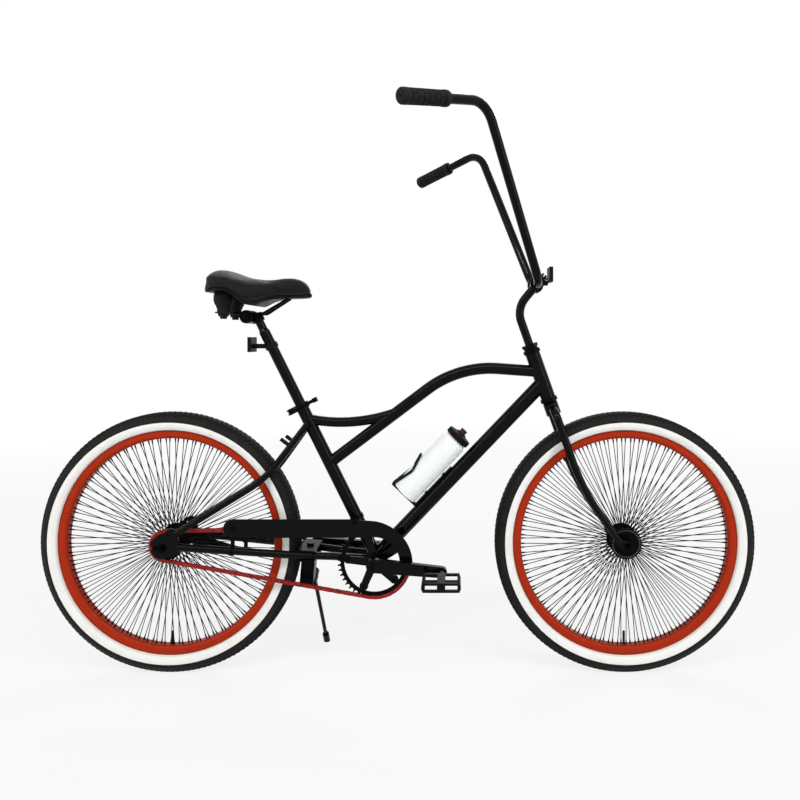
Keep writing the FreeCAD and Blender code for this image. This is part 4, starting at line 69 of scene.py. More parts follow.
# %% Camera
CAMERA_PLACE = (0.146, -1.750, 0.851)
SENSOR_WIDTH, FOCAL_LENGTH = 36, 30.71
FRAME_SHIFT = (-0.06875, -0.0775)
lens = bpy.data.cameras.new("side_camera")
lens.sensor_width, lens.lens = SENSOR_WIDTH, FOCAL_LENGTH
lens.shift_x, lens.shift_y = FRAME_SHIFT
camera = bpy.data.objects.new("side_camera", lens)
camera.location = CAMERA_PLACE
camera.rotation_euler = (math.pi / 2, 0, 0)
scene.collection.objects.link(camera)
scene.camera = camera
print("camera at", CAMERA_PLACE, "lens", FOCAL_LENGTH)

# %% [markdown]
# Shader maths could be wired node by node, but it reads best as plain arithmetic. One small class wraps a
# node's output, so that 1 - mask or rings * 0.2 adds the Math node by itself, whichever side the output is
# on.


# %% Sockets
class Out:
    """One output of a shader node, with operators that add Math nodes."""

    def __init__(self, look, socket):
        self.look, self.socket = look, socket

    def __add__(self, other):
        return self.look.math("ADD", self, other)

    def __radd__(self, other):
        return self.look.math("ADD", other, self)

    def __sub__(self, other):
        return self.look.math("SUBTRACT", self, other)

    def __rsub__(self, other):
        return self.look.math("SUBTRACT", other, self)

    def __mul__(self, other):
        return self.look.math("MULTIPLY", self, other)

    def __rmul__(self, other):
        return self.look.math("MULTIPLY", other, self)


print("outputs add, subtract and multiply")

# %% [markdown]
# A finish is a tree of nodes. A second class holds such a tree while it is built. One of its methods makes
# every node: its settings first, then the values or links of its sockets. The short methods after that one
# give plain names to the nodes that this bicycle's finishes use most.

# %% Looks
SEEN_RAYS = ("Camera", "Glossy", "Transmission")
NOISE_RANGE = (0.3, 0.7)


class Look:
    """A material, or the world, under construction."""

    def __init__(self, name, holder=None):
        self.holder = holder or bpy.data.materials.new(name)
        self.holder.use_nodes = True
        self.tree = self.holder.node_tree
        self.shader = self.tree.nodes.get("Principled BSDF")

    def node(self, kind, settings=None, values=None, out=0):
        """Makes a node of a type, sets it up, then fills or links its sockets."""
        made = self.tree.nodes.new(kind)
        for key, value in (settings or {}).items():
            setattr(made, key, value)
        for key, value in (values or {}).items():
            self.plug(made.inputs[key], value)
        return Out(self, made.outputs[out])

    def plug(self, socket, value):
        """Links an output to a socket, or sets the socket to a plain value."""
        if isinstance(value, Out):
            self.tree.links.new(value.socket, socket)
        else:
            socket.default_value = value

    def show(self, last_node, shader):
        """Sends a shader to the surface of the tree's last node."""
        self.plug(self.tree.nodes[last_node].inputs["Surface"], shader)

    def math(self, operation, *values):
        return self.node("ShaderNodeMath", {"operation": operation}, dict(enumerate(values)))

    def vector(self, operation, *values, out="Vector"):
        return self.node("ShaderNodeVectorMath", {"operation": operation}, dict(enumerate(values)), out)

    def place(self):
        return self.node("ShaderNodeTexCoord", out="Object")

    def noise(self, where, scale, detail):
        return self.node("ShaderNodeTexNoise", {}, {"Vector": where, "Scale": scale, "Detail": detail}, "Fac")

    def creases(self, where, scale):
        """The distance from the edges of small random cells."""
        values = {"Vector": where, "Scale": scale}
        return self.node("ShaderNodeTexVoronoi", {"feature": "DISTANCE_TO_EDGE"}, values, "Distance")

    def span(self, value, low, high, to_low=0.0, to_high=1.0):
        """A value carried from one range to another and kept inside it."""
        values = {"Value": value, "From Min": low, "From Max": high, "To Min": to_low, "To Max": to_high}
        return self.node("ShaderNodeMapRange", {"clamp": True}, values)

    def spread(self, noise, low, high):
        """A noise, which mostly keeps to the middle of its range, spread from low to high."""
        return self.span(noise, *NOISE_RANGE, low, high)

    def mix(self, share, first, second):
        return self.node("ShaderNodeMix", {"data_type": "RGBA"}, {0: share, 6: first, 7: second}, 2)

    def relief(self, height, depth, strength=1.0):
        values = {"Height": height, "Distance": depth, "Strength": strength}
        return self.node("ShaderNodeBump", {}, values, "Normal")

    def from_axis(self, axle):
        """The distance of a point from a wheel's axle, seen along the axle."""
        moved = self.vector("SUBTRACT", self.place(), axle)
        flat = self.vector("MULTIPLY", moved, (1, 0, 1))
        return self.vector("LENGTH", flat, out="Value")

    def seen(self):
        """1 on rays that the camera sees, straight, by a mirror or through a clear piece, and else 0."""
        straight, mirrored, through = (
            self.node("ShaderNodeLightPath", out=f"Is {ray} Ray") for ray in SEEN_RAYS
        )
        return straight + mirrored + through

    def done(self, **sockets):
        for key, value in sockets.items():
            self.plug(self.shader.inputs[key.replace("_", " ")], value)
        return self.holder


def shade(red, green, blue):
    """A colour as the screen shows it, 0 to 255, turned into the linear one that shaders use."""
    parts = np.array([red, green, blue]) / 255
    linear = np.where(parts <= 0.04045, parts / 12.92, ((parts + 0.055) / 1.055) ** 2.4)
    return (*linear.tolist(), 1.0)


print("a middle grey of 128 is", round(shade(128, 128, 128)[0], 3), "to a shader")

# %% [markdown]
# The bicycle stands in a bright studio. Round tubes mirror each lamp as a line, so the lamps are soft boxes,
# long and narrow: one above, one on each side and one behind. Broad boxes would be softer, but they would
# show as grey bands on the black tubes.

# %% Lamps
LAMP_TARGET = np.array((0, 0, 0.6))


def soft_lamp(name, place, width, height, power):
    """A rectangular lamp, tilted and turned so that its front looks at the middle of the bicycle."""
    lamp = bpy.data.lights.new(name, "AREA")
    lamp.shape, lamp.size, lamp.size_y, lamp.energy = "RECTANGLE", width, height, power
    holder = bpy.data.objects.new(name, lamp)
    holder.location = place
    aim = LAMP_TARGET - np.array(place)
    tilt = math.acos(-aim[2] / np.linalg.norm(aim))
    heading = math.atan2(aim[1], aim[0]) - math.pi / 2
    holder.rotation_euler = (tilt, 0, heading)
    scene.collection.objects.link(holder)
    print(name, power, "W")


soft_lamp("top_strip", (0.2, -1.9, 2.7), width=4.2, height=0.12, power=50)
soft_lamp("left_box", (-2.6, -1.9, 1.7), width=0.16, height=2.6, power=28)
soft_lamp("right_box", (2.7, -1.8, 1.7), width=0.16, height=2.6, power=30)
soft_lamp("back_strip", (0.3, 2.7, 2.6), width=2.2, height=0.4, power=30)

# %% [markdown]
# The background is pure white. A sky bright enough for that would flood the bicycle with light and wash out
# its black, so the sky has two strengths, chosen by the light path: white for what the camera sees, and
# about a third of that for the light that falls on the bicycle.

# %% Sky
SKY_STRENGTH = 0.34
WHITE = (1, 1, 1, 1)
world = Look("studio_sky", bpy.data.worlds.new("studio_sky"))
scene.world = world.holder
dim_sky = world.node("ShaderNodeBackground", {}, {"Color": WHITE, "Strength": SKY_STRENGTH})
white_sky = world.node("ShaderNodeBackground", {}, {"Color": WHITE, "Strength": 1.0})
world.show("World Output", world.node("ShaderNodeMixShader", {}, {0: world.seen(), 1: dim_sky, 2: white_sky}))
print("sky strength", SKY_STRENGTH, "and white to the camera")

# %% [markdown]
# The floor is a sheet of white paper. Lit paper alone would look grey against the background, and paper that
# only glows would lose the shadow. So the two are mixed where the camera looks: near the bicycle enough of
# the lit paper shows to keep a soft shadow, and the glow grows with the distance until the far edge can't be
# told from the background.

# %% Floor
FLOOR_RADIUS, FLOOR_EDGES, FLOOR_DROP = 9, 64, 0.0005
NEAR, FAR, NEAR_GLOW_SHARE = 1.2, 5.0, 0.80
PAPER_TONES = (0.80, 0.80, 0.80, 1), (0.84, 0.84, 0.84, 1)
turn = np.linspace(0, 2 * np.pi, FLOOR_EDGES, endpoint=False)
level = np.full(FLOOR_EDGES, -FLOOR_DROP)
disc = np.stack([FLOOR_RADIUS * np.cos(turn), FLOOR_RADIUS * np.sin(turn), level], 1)
floor_mesh = bpy.data.meshes.new("floor")
floor_mesh.from_pydata(disc.tolist(), [], [list(range(FLOOR_EDGES))])
floor = bpy.data.objects.new("floor", floor_mesh)
scene.collection.objects.link(floor)
paper = Look("pale_floor")
grain = paper.noise(paper.place(), scale=40.0, detail=4.0)
paper.done(Base_Color=paper.mix(grain, *PAPER_TONES), Roughness=0.9)
glow = paper.node("ShaderNodeEmission", {}, {"Color": WHITE, "Strength": 1.0})
lit = Out(paper, paper.shader.outputs[0])
away = paper.vector("LENGTH", paper.place(), out="Value")
glow_share = paper.seen() * paper.span(away, NEAR, FAR, NEAR_GLOW_SHARE, 1.0)
paper.show("Material Output", paper.node("ShaderNodeMixShader", {}, {0: glow_share, 1: lit, 2: glow}))
floor_mesh.materials.append(paper.holder)
print("floor", 2 * FLOOR_RADIUS, "m across")

# %% [markdown]
# Most of the bicycle is gloss black enamel: almost no colour of its own, a clear hard coat with sharp
# reflections, and under it the faint orange peel of sprayed paint. One even black would look like plastic on
# such long tubes, so a trace of dust changes colour and gloss in patches. The coat bends light less than real
# varnish does, because a stronger one mirrors so much of the white background that the black turns grey.


# %% Black enamel
def black_enamel():
    look = Look("gloss_black_enamel")
    where = look.place()
    dust = look.noise(where, scale=9.0, detail=6.0)
    peel = look.noise(where, scale=420.0, detail=2.0)
    colour = look.mix(dust, shade(3, 3, 4), shade(7, 7, 8))
    rough = look.spread(dust, 0.2, 0.35)
    look.done(Coat_Weight=1.0, Coat_Roughness=0.03, Coat_IOR=1.16, Specular_IOR_Level=0.02)
    return look.done(Base_Color=colour, Roughness=rough, Normal=look.relief(peel, depth=0.06 * MM))


enamel = black_enamel()
print("enamel", enamel.name)

# %% [markdown]
# The rims are orange enamel with painted shade: a little darker along the tyre and along the bed of the
# spokes, where shade falls between the parts. The shade could be painted on an image, but the distance from
# the axle already says where it lies, so it is a formula, and each wheel has a finish measured from its own
# axle.

# %% Orange rims
REAR_AXLE, FRONT_AXLE = (-0.5785, 0, 0.331), (0.5785, 0, 0.331)
WHEELS = {"front": FRONT_AXLE, "rear": REAR_AXLE}
TYRE_SHADE_RANGE, SPOKE_BED_SHADE_RANGE = (0.2815, 0.2850), (0.2640, 0.2665)


def rim_enamel(name, axle):
    look = Look(name)
    where = look.place()
    radius = look.from_axis(axle)
    cloud = look.noise(where, scale=30.0, detail=5.0)
    peel = look.noise(where, scale=380.0, detail=2.0)
    # painted shade: darker where the rim meets the tyre and in the spoke bed
    rim_shade = look.span(radius, *TYRE_SHADE_RANGE) + (1 - look.span(radius, *SPOKE_BED_SHADE_RANGE))
    clean = look.mix(cloud, shade(172, 45, 12), shade(158, 39, 9))
    # the painted shade's dark orange, mixed in by that mask and the noise
    colour = look.mix(rim_shade * (0.25 + 0.35 * cloud), clean, shade(84, 25, 15))
    rough = look.spread(cloud, 0.24, 0.36)
    look.done(Coat_Weight=0.4, Coat_Roughness=0.05, Coat_IOR=1.2, Specular_IOR_Level=0.05)
    return look.done(Base_Color=colour, Roughness=rough, Normal=look.relief(peel, depth=0.05 * MM))


front_enamel = rim_enamel("front_rim_orange", FRONT_AXLE)
rear_enamel = rim_enamel("rear_rim_orange", REAR_AXLE)
print("rims", front_enamel.name, rear_enamel.name)

# %% [markdown]
# The small metal is of three kinds: black lacquered steel on spokes, toothed wheels, saddle rails and most
# bolts, black anodised alloy on the hubs, and bare oiled steel on the stem's bolts, the crank's spindle and
# the spoke heads. They differ only in their colours, their share of metal and their gloss, so one function
# makes all three.


# %% Metals
def small_metal(name, light, dark, metal, rough, scale):
    look = Look(name)
    where = look.place()
    cloud = look.noise(where, scale, detail=6.0)
    fine = look.noise(where, scale * 12, detail=3.0)
    colour = look.mix(cloud, dark, light)
    look.done(Metallic=metal, Specular_IOR_Level=0.04)
    return look.done(
        Base_Color=colour, Roughness=look.spread(cloud, *rough), Normal=look.relief(fine, depth=0.04 * MM),
    )


lacquer = small_metal(
    "black_lacquered_steel", shade(10, 10, 11), shade(5, 5, 6), metal=0.2, rough=(0.18, 0.34), scale=60.0,
)
alloy = small_metal(
    "black_anodised_alloy", shade(12, 12, 13), shade(6, 6, 7), metal=0.25, rough=(0.2, 0.36), scale=45.0,
)
steel = small_metal(
    "oiled_steel", shade(120, 118, 116), shade(72, 71, 70), metal=1.0, rough=(0.22, 0.42), scale=90.0,
)
print("metals", lacquer.name, alloy.name, steel.name)

# %% [markdown]
# The chain is lacquered red, and oil darkens it in patches. The patches could follow the single links, but
# at this size a fine noise over the whole chain gives the same broken red.


# %% Red chain
def red_lacquer():
    look = Look("red_lacquered_chain")
    oil = look.noise(look.place(), scale=160.0, detail=5.0)
    colour = look.mix(look.span(oil, 0.45, 0.70), shade(154, 28, 22), shade(72, 14, 11))
    look.done(Coat_Weight=0.4, Coat_IOR=1.25, Metallic=0.1, Specular_IOR_Level=0.15)
    return look.done(Base_Color=colour, Roughness=look.spread(oil, 0.26, 0.5))


chain_red = red_lacquer()
print("chain", chain_red.name)

# %% [markdown]
# Rubber is black but never glossy: it scatters light, and dust settles in its pores. Shallow grooves hardly
# darken by themselves under such even light, so shade is painted into them. An attribute of the mesh tells
# the
# rubber where it is: above 0 in a groove, which gets the painted shade, and below 0 at the tyre's white bead.


# %% Black rubber
def black_rubber(name, scale, grooves=False):
    look = Look(name)
    where = look.place()
    dust = look.noise(where, scale, detail=6.0)
    pores = look.noise(where, scale * 14, detail=2.0)
    colour = look.mix(look.span(dust, 0.35, 0.75), shade(17, 17, 17), shade(36, 35, 34))
    if grooves:
        groove = look.node("ShaderNodeAttribute", {"attribute_name": "groove"}, out="Fac")
        bead = 1 - look.span(groove, -1.0, -0.5)
        # painted shade: grooves and the gaps between pads darkened in the colour
        colour = look.mix(look.span(groove, 0.0, 1.0), colour, shade(3, 3, 3))
        colour = look.mix(bead, colour, shade(236, 234, 229))
    rough = look.spread(dust, 0.55, 0.8)
    look.done(Specular_IOR_Level=0.12)
    return look.done(Base_Color=colour, Roughness=rough, Normal=look.relief(pores, depth=0.15 * MM))


tread_rubber = black_rubber("tread_rubber", 26.0, grooves=True)
tube_rubber = black_rubber("tube_rubber", 30.0)
grip_rubber = black_rubber("grip_rubber", 55.0, grooves=True)
print("rubbers", tread_rubber.name, tube_rubber.name, grip_rubber.name)

# %% [markdown]
# The white side bands are rubber too, with the fine rings that the mould leaves and stains in patches, and
# towards both edges they get painted shade, a little darker and yellower. Rings cut into the mesh would need
# tens of thousands of faces, so they are a sine wave of the distance from the axle, shown as relief.

# %% White bands
RING_RADIANS_PER_METRE = 4200.0
BAND_INNER_EDGE, BAND_OUTER_EDGE = (0.2875, 0.2895), (0.3040, 0.3060)


def band_rubber(name, axle):
    look = Look(name)
    radius = look.from_axis(axle)
    rings = look.math("SINE", radius * RING_RADIANS_PER_METRE)
    dirt = look.noise(look.place(), scale=24.0, detail=6.0)
    # painted shade towards both edges of the band; the noise adds real stains
    edge = (1 - look.span(radius, *BAND_INNER_EDGE)) + look.span(radius, *BAND_OUTER_EDGE)
    stain_and_shade = look.span(dirt, 0.5, 0.8) * 0.22 + edge * 0.18
    colour = look.mix(stain_and_shade, shade(247, 246, 242), shade(205, 198, 184))
    return look.done(Base_Color=colour, Roughness=0.5, Normal=look.relief(rings, depth=0.12 * MM))


front_band = band_rubber("front_white_rubber", FRONT_AXLE)
rear_band = band_rubber("rear_white_rubber", REAR_AXLE)
print("bands", front_band.name, rear_band.name)

# %% [markdown]
# The saddle's cover is black vinyl with a leather grain: small rounded cells parted by creases. A plain noise
# would look like sand, so the grain is the distance from the edges of random cells, with a slower noise
# added to it.


# %% Vinyl
def grained_vinyl():
    look = Look("grained_black_vinyl")
    where = look.place()
    swell = look.noise(where, scale=90.0, detail=2.0)
    grain = look.span(look.creases(where, scale=620.0), 0.0, 0.22) + 0.4 * swell
    wear = look.noise(where, scale=14.0, detail=4.0)
    colour = look.mix(wear, shade(9, 9, 10), shade(16, 16, 17))
    rough = look.spread(wear, 0.34, 0.48)
    relief = look.relief(grain, depth=0.22 * MM, strength=0.6)
    look.done(Sheen_Weight=0.02, Specular_IOR_Level=0.1)
    return look.done(Base_Color=colour, Roughness=rough, Normal=relief)


vinyl = grained_vinyl()
print("vinyl", vinyl.name)

# %% [markdown]
# Pedals, cage, brackets and bottle are moulded plastic, which has a fine even sparkle from the mould's own
# surface. The bottle and its nozzle also let a little light in. Glass-like transmission would make them too
# clear, so a short scatter under the surface does it.


# %% Plastics
def moulded(name, light, dark, rough, scale, soft=0.0):
    look = Look(name)
    where = look.place()
    cloud = look.noise(where, scale, detail=4.0)
    spark = look.noise(where, scale=900.0, detail=2.0)
    colour = look.mix(cloud, dark, light)
    look.done(Subsurface_Weight=soft, Subsurface_Scale=0.004, Specular_IOR_Level=0.08)
    return look.done(
        Base_Color=colour, Roughness=look.spread(cloud, *rough), Normal=look.relief(spark, depth=0.06 * MM),
    )


plastic = moulded(
    "moulded_black_plastic", shade(13, 13, 14), shade(8, 8, 9), rough=(0.36, 0.50), scale=40.0,
)
bottle_white = moulded(
    "white_bottle_plastic", shade(250, 250, 248), shade(245, 245, 242), rough=(0.28, 0.42), scale=18.0,
    soft=0.25,
)
nozzle_red = moulded(
    "dark_red_nozzle", shade(98, 36, 39), shade(74, 25, 29), rough=(0.28, 0.42), scale=70.0, soft=0.1,
)
print("plastics", plastic.name, bottle_white.name, nozzle_red.name)

# %% [markdown]
# The reflectors are clear plastic over rows of small corner prisms. Modelled prisms would be thousands of
# faces, and they lie under a smooth cover anyway, so three saw waves give their height: two that lean to
# either side, crossed with an upright one. The height also paints the colour: painted light on the prisms'
# ridges and painted shade in their hollows.

# %% Reflectors
PRISMS_ACROSS, PRISM_LEAN, PRISM_ROWS = 260.0, 150.0, 300.0


def prism_lens(name, light, dark):
    """Height of the prisms: saw(across + up), saw(across - up) and saw(up), added."""
    look = Look(name)
    parts = look.node("ShaderNodeSeparateXYZ", {}, {0: look.place()}).socket.node.outputs
    across, up = Out(look, parts["Y"]), Out(look, parts["Z"])
    waves = [across * PRISMS_ACROSS + up * lean for lean in (PRISM_LEAN, -PRISM_LEAN)]
    left, right, rows = (look.math("PINGPONG", wave, 0.5) for wave in (*waves, up * PRISM_ROWS))
    height = left + right + rows
    # painted light and shade: the prisms' ridges lighter, their hollows darker
    colour = look.mix(look.span(height, 0.3, 1.1), dark, light)
    look.done(Coat_Weight=1.0, Coat_Roughness=0.04)
    return look.done(Base_Color=colour, Roughness=0.12, Normal=look.relief(height, depth=0.8 * MM))


lens_red = prism_lens("red_prism_lens", shade(190, 24, 20), shade(96, 8, 8))
lens_clear = prism_lens("clear_prism_lens", shade(226, 228, 230), shade(150, 154, 158))
print("lenses", lens_red.name, lens_clear.name)

# %% [markdown]
# Every solid that stays gets its finish here. The part's record names a slot for each, which settles most of
# them in one table. A second table holds those with a finish of their own: rims and bands, measured from
# their axle, and pieces that are painted or lacquered black.

# %% Finishes on the solids
FINISHES = {
    "frame_black": enamel, "spoke_black": lacquer, "alloy_black": alloy, "steel": steel,
    "chain_red": chain_red, "tyre_black": tread_rubber, "tube_rubber": tube_rubber,
    "grip_rubber": grip_rubber, "saddle_black": vinyl, "plastic_black": plastic,
    "bottle_white": bottle_white, "nozzle_red": nozzle_red, "lens_red": lens_red, "lens_clear": lens_clear,
}
OWN_FINISHES = {
    "front_rim": front_enamel, "rear_rim": rear_enamel, "front_white_bands": front_band,
    "rear_white_bands": rear_band, "stem": enamel, "seat_clamp_collar": enamel, "kickstand_leg": enamel,
    "crank_bolts": lacquer, "right_crank_arm": enamel, "left_crank_arm": enamel, "front_axle": lacquer,
    "rear_axle": lacquer, "kickstand_bracket": lacquer,
}
for part in frame["record"]["subparts"]:
    name = part["node"]
    finish = OWN_FINISHES.get(name) or FINISHES[part["material_slot"]]
    solids[name].data.materials.clear()
    solids[name].data.materials.append(finish)

# %% [markdown]
# New pieces are grids of points. A helper turns a grid, or a stack of equal grids, into one mesh: each cell
# of four neighbours is a face, the grid's own two parameters become the UV map, and points that fall
# together at seams and poles are welded, so that the piece is closed and its faces point outwards.

# %% Grid to mesh
WELD_DISTANCE = 2e-6


def lay_grid(name, points, finish, body, sharp=35, groove=None):
    """A grid (rows, columns, 3), or many of them (copies, rows, columns, 3), as one welded object."""
    points = np.asarray(points, float)
    stack = points.reshape((-1,) + points.shape[-3:])
    copies, rows, columns = stack.shape[:3]
    index = np.arange(copies * rows * columns).reshape(copies, rows, columns)
    corners = (index[:, :-1, :-1], index[:, :-1, 1:], index[:, 1:, 1:], index[:, 1:, :-1])
    faces = np.stack(corners, -1).reshape(-1, 4)
    mesh = bpy.data.meshes.new(name)
    mesh.from_pydata(stack.reshape(-1, 3).tolist(), [], faces.tolist())
    share = np.stack(np.meshgrid(np.linspace(0, 1, rows), np.linspace(0, 1, columns), indexing="ij"), -1)
    spread = np.tile(share.reshape(-1, 2), (copies, 1))
    mesh.uv_layers.new(name="UVMap").data.foreach_set("uv", spread[faces.reshape(-1)].ravel())
    if groove is not None:
        depth = np.broadcast_to(groove, stack.shape[:3]).astype(np.float32)
        mesh.attributes.new("groove", "FLOAT", "POINT").data.foreach_set("value", depth.ravel())
    weld(mesh, WELD_DISTANCE)
    mesh.shade_smooth()
    mesh.set_sharp_from_angle(angle=math.radians(sharp))
    mesh.materials.append(finish)
    piece = bpy.data.objects.new(name, mesh)
    scene.collection.objects.link(piece)
    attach(piece, body)
    print(name, "faces", len(mesh.polygons))
    return piece


def weld(mesh, distance):
    """Joins points that lie together and turns all faces outwards."""
    work = bmesh.new()
    work.from_mesh(mesh)
    bmesh.ops.remove_doubles(work, verts=work.verts, dist=distance)
    bmesh.ops.recalc_face_normals(work, faces=work.faces)
    work.to_mesh(mesh)
    work.free()


print("grids become meshes, welded at", WELD_DISTANCE, "m")

# %% [markdown]
# Many of the bicycle's small pieces are turned on a lathe or look so. A profile carried round an axis gives
# each of them, and one function does it for a single axis or for hundreds at once, because it works on whole
# arrays. A smooth step from 0 to 1 shapes their profiles.

# %% Turned forms
NEARLY_ALONG_Y = 0.9


def axes(way):
    """A way at length 1, and two directions square to it and to each other, for one way or for many."""
    way = way / np.linalg.norm(way, axis=-1, keepdims=True)
    off_y = np.abs(way[..., 1:2]) < NEARLY_ALONG_Y
    helper = np.where(off_y, np.array((0.0, 1.0, 0.0)), np.array((1.0, 0.0, 0.0)))
    side = np.cross(way, helper)
    side /= np.linalg.norm(side, axis=-1, keepdims=True)
    return way, side, np.cross(way, side)


def revolve(start, way, along, radius, steps):
    """Turned form: point = start + way * along + radius * (side * cos(turn) + rise * sin(turn))."""
    start = np.asarray(start, float)
    way, side, rise = axes(np.asarray(way, float))
    turn = np.linspace(0, 2 * np.pi, steps + 1)
    ring = side[..., None, :] * np.cos(turn)[:, None] + rise[..., None, :] * np.sin(turn)[:, None]
    along = np.asarray(along, float)[:, None, None]
    radius = np.asarray(radius, float)
    radius = np.broadcast_to(radius[:, None] if radius.ndim == 1 else radius, (len(along), steps + 1))
    middle = start[..., None, None, :] + along * way[..., None, None, :]
    return middle + radius[..., None] * ring[..., None, :, :]


def ease(value, low, high):
    """0 below low, 1 above high, and between them 3 s s - 2 s s s of the share s."""
    share = np.clip((value - low) / (high - low), 0, 1)
    return share * share * (3 - 2 * share)


print("a quarter of the way, the smooth step is at", ease(0.25, 0, 1))

# %% [markdown]
# A tyre is its section carried round the axle. The section goes from one bead up the side wall, over the
# tread, down to the other bead and back inside. It could be drawn as one curve, but arcs and straight
# stretches in millimetres keep it equal to the solid's own section.

# %% Tyre section
SECTION_MIDDLE = 304
SEAT, BEAD_TOP, BEAD_HALF = 280, 285.6, 13.7
BAND_LOW, BAND_HIGH, BAND_RADIUS = 287.5, 306, 26
WALL_LOW, WALL_RADIUS = 306.05, 27
SHOULDER, CROWN_EDGE = np.array((19.5, 322.67)), np.array((13, 331))
LINING_LOW, LINING_TOP, LINING_RADIUS = 292, 327.9, 24
LINING_HALF, LINING_BEAD_TOP = 10.7, 288.6


def arc(radius, first, last, count):
    """Points (half width, distance from the axle) of a round section between two distances."""
    angles = np.linspace(*np.arcsin((np.array((first, last)) - SECTION_MIDDLE) / radius), count)
    return np.stack([radius * np.cos(angles), SECTION_MIDDLE + radius * np.sin(angles)], 1)


def tyre_outline():
    """Half widths and distances from the axle, in millimetres, once round the section."""
    bead = [(BEAD_HALF, SEAT), (BEAD_HALF, BEAD_TOP)]
    band = arc(BAND_RADIUS, BAND_LOW, BAND_HIGH, count=4)
    wall = arc(WALL_RADIUS, WALL_LOW, SHOULDER[1], count=11)
    slope = SHOULDER + np.linspace(0, 1, 6)[1:-1, None] * (CROWN_EDGE - SHOULDER)
    crown = np.linspace(CROWN_EDGE, CROWN_EDGE * (0, 1), 9)
    outer = np.vstack([bead, band, wall, slope, crown])
    lining = arc(LINING_RADIUS, LINING_TOP, LINING_LOW, count=4)
    inner = np.vstack([lining, [(LINING_HALF, LINING_BEAD_TOP), (LINING_HALF, SEAT)]])
    mirror = (-1, 1)
    return np.vstack([outer, outer[-2::-1] * mirror, inner[::-1] * mirror, inner, outer[:1]])


print("points round the tyre's section", len(tyre_outline()))

# %% [markdown]
# Only the tread differs from the solid: grooves run round it and slanted cuts cross it, sunk into the same
# outer skin, so the tyre keeps its size. A bump map would be cheaper, but the blocks show at the tyre's edge,
# so they are real.

# %% Tyres with tread
TREAD_BLOCKS, TREAD_DEPTH, TYRE_STEPS = 150, 1.6, 1200
CUT_SLANT, CUT_SHARES = 14, (0.10, 0.24)
MIDDLE_RIB, TREAD_END = (3.5, 5.0), (27.0, 29.0)
GROOVES, GROOVE_EDGE = (4.9, 13.0, 20.2), (0.8, 1.7)
WHITE_BEAD_TOP = 288


def tread_cut(reach, turn):
    """How deep the tread is cut, 0 to 1, by the distance from its middle and the turn round the axle.

    A saw wave of the turn, shifted with the distance, is cut near its middle: the slanted cuts. Each groove
    is cut near its own distance. The deeper of the two counts, and both end at the side wall.
    """
    far = np.abs(reach)
    phase = (turn * TREAD_BLOCKS / (2 * np.pi) + far / CUT_SLANT + np.where(reach > 0, 0.5, 0)) % 1
    cut = (1 - ease(np.abs(phase - 0.5), *CUT_SHARES)) * ease(far, *MIDDLE_RIB)
    for groove in GROOVES:
        cut = np.maximum(cut, 1 - ease(np.abs(far - groove), *GROOVE_EDGE))
    return cut * (1 - ease(far, *TREAD_END))


def tyre(name, axle, body, node):
    """The section turned round the axle, its outer points sunk by the tread's depth times the cut."""
    half, radius = tyre_outline().T
    run = np.concatenate([[0], np.cumsum(np.hypot(np.diff(half), np.diff(radius)))])
    middle = run[np.argmax(radius - np.abs(half))]
    turn = np.linspace(0, 2 * np.pi, TYRE_STEPS + 1)
    skin = np.hypot(half, radius - SECTION_MIDDLE) > (WALL_RADIUS + LINING_RADIUS) / 2
    outside = (skin & (radius > BAND_HIGH))[:, None]
    cut = tread_cut((run - middle)[:, None], turn[None, :]) * outside
    points = revolve(axle, (0, 1, 0), half * MM, (radius[:, None] - TREAD_DEPTH * cut) * MM, TYRE_STEPS)
    groove = np.where((radius < WHITE_BEAD_TOP)[:, None], -1.0, cut)
    piece = lay_grid(name, points, tread_rubber, body, sharp=50, groove=groove)
    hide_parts(node)


for wheel, axle in WHEELS.items():
    tyre(f"{wheel}_tread_tyre", axle, f"{wheel}_wheel", f"{wheel}_tyre")

# %% [markdown]
# 144 spokes end in as many nipples in each rim, and half of them in a domed head on a hub's flange. Copies of
# one object would fill the scene with names. Each is a small turned shape with six or eight sides, and all of
# a wheel's are worked out together, from an array of starts and an array of directions.

# %% Nipples and spoke heads
SPOKES, HUB_CIRCLE, RIM_CIRCLE = 144, 34, 264
HUB_HALVES, RIM_HALVES, FLANGE_FACE = (23.4, 29.8), (1.9, 4.6), 27.4
NIPPLE = np.array([(-1, 0), (-1, 2.1), (5, 2.1), (8.5, 1.55), (12, 1.35), (12, 0)]) * MM
SPOKE_HEAD = np.array([(-0.4, 0), (-0.4, 2.2), (0.5, 1.9), (1.05, 0)]) * MM


def spoke_ends(axle):
    """Both ends of each spoke, on circles round the axle, and their side, even ones right.

    Two by two they run inside and outside a flange, which sets their half widths.
    """
    number = np.arange(SPOKES)
    turn = (number + 0.5) * 2 * np.pi / SPOKES
    side = np.where(number % 2 == 0, -1.0, 1.0)
    inside = number % 4 < 2
    ends = []
    for circle, halves in ((HUB_CIRCLE, HUB_HALVES), (RIM_CIRCLE, RIM_HALVES)):
        half = side * np.where(inside, *halves)
        ends.append(np.array(axle) + np.stack([circle * np.cos(turn), half, circle * np.sin(turn)], 1) * MM)
    return *ends, side, inside


def nipples(name, axle, body):
    """The nipple's profile turned round each spoke, from the rim towards the hub."""
    hub, rim, *_ = spoke_ends(axle)
    lay_grid(name, revolve(rim, hub - rim, *NIPPLE.T, steps=6), lacquer, body)


def spoke_heads(name, axle, body):
    """Domed heads on the flanges' outer faces, where the spokes that run inside come through."""
    hub, _, side, inside = spoke_ends(axle)
    out = np.array([0.0, 1.0, 0.0]) * side[inside][:, None]
    seat = hub[inside] * (1, 0, 1) + out * FLANGE_FACE * MM
    lay_grid(name, revolve(seat, out, *SPOKE_HEAD.T, steps=8), steel, body)


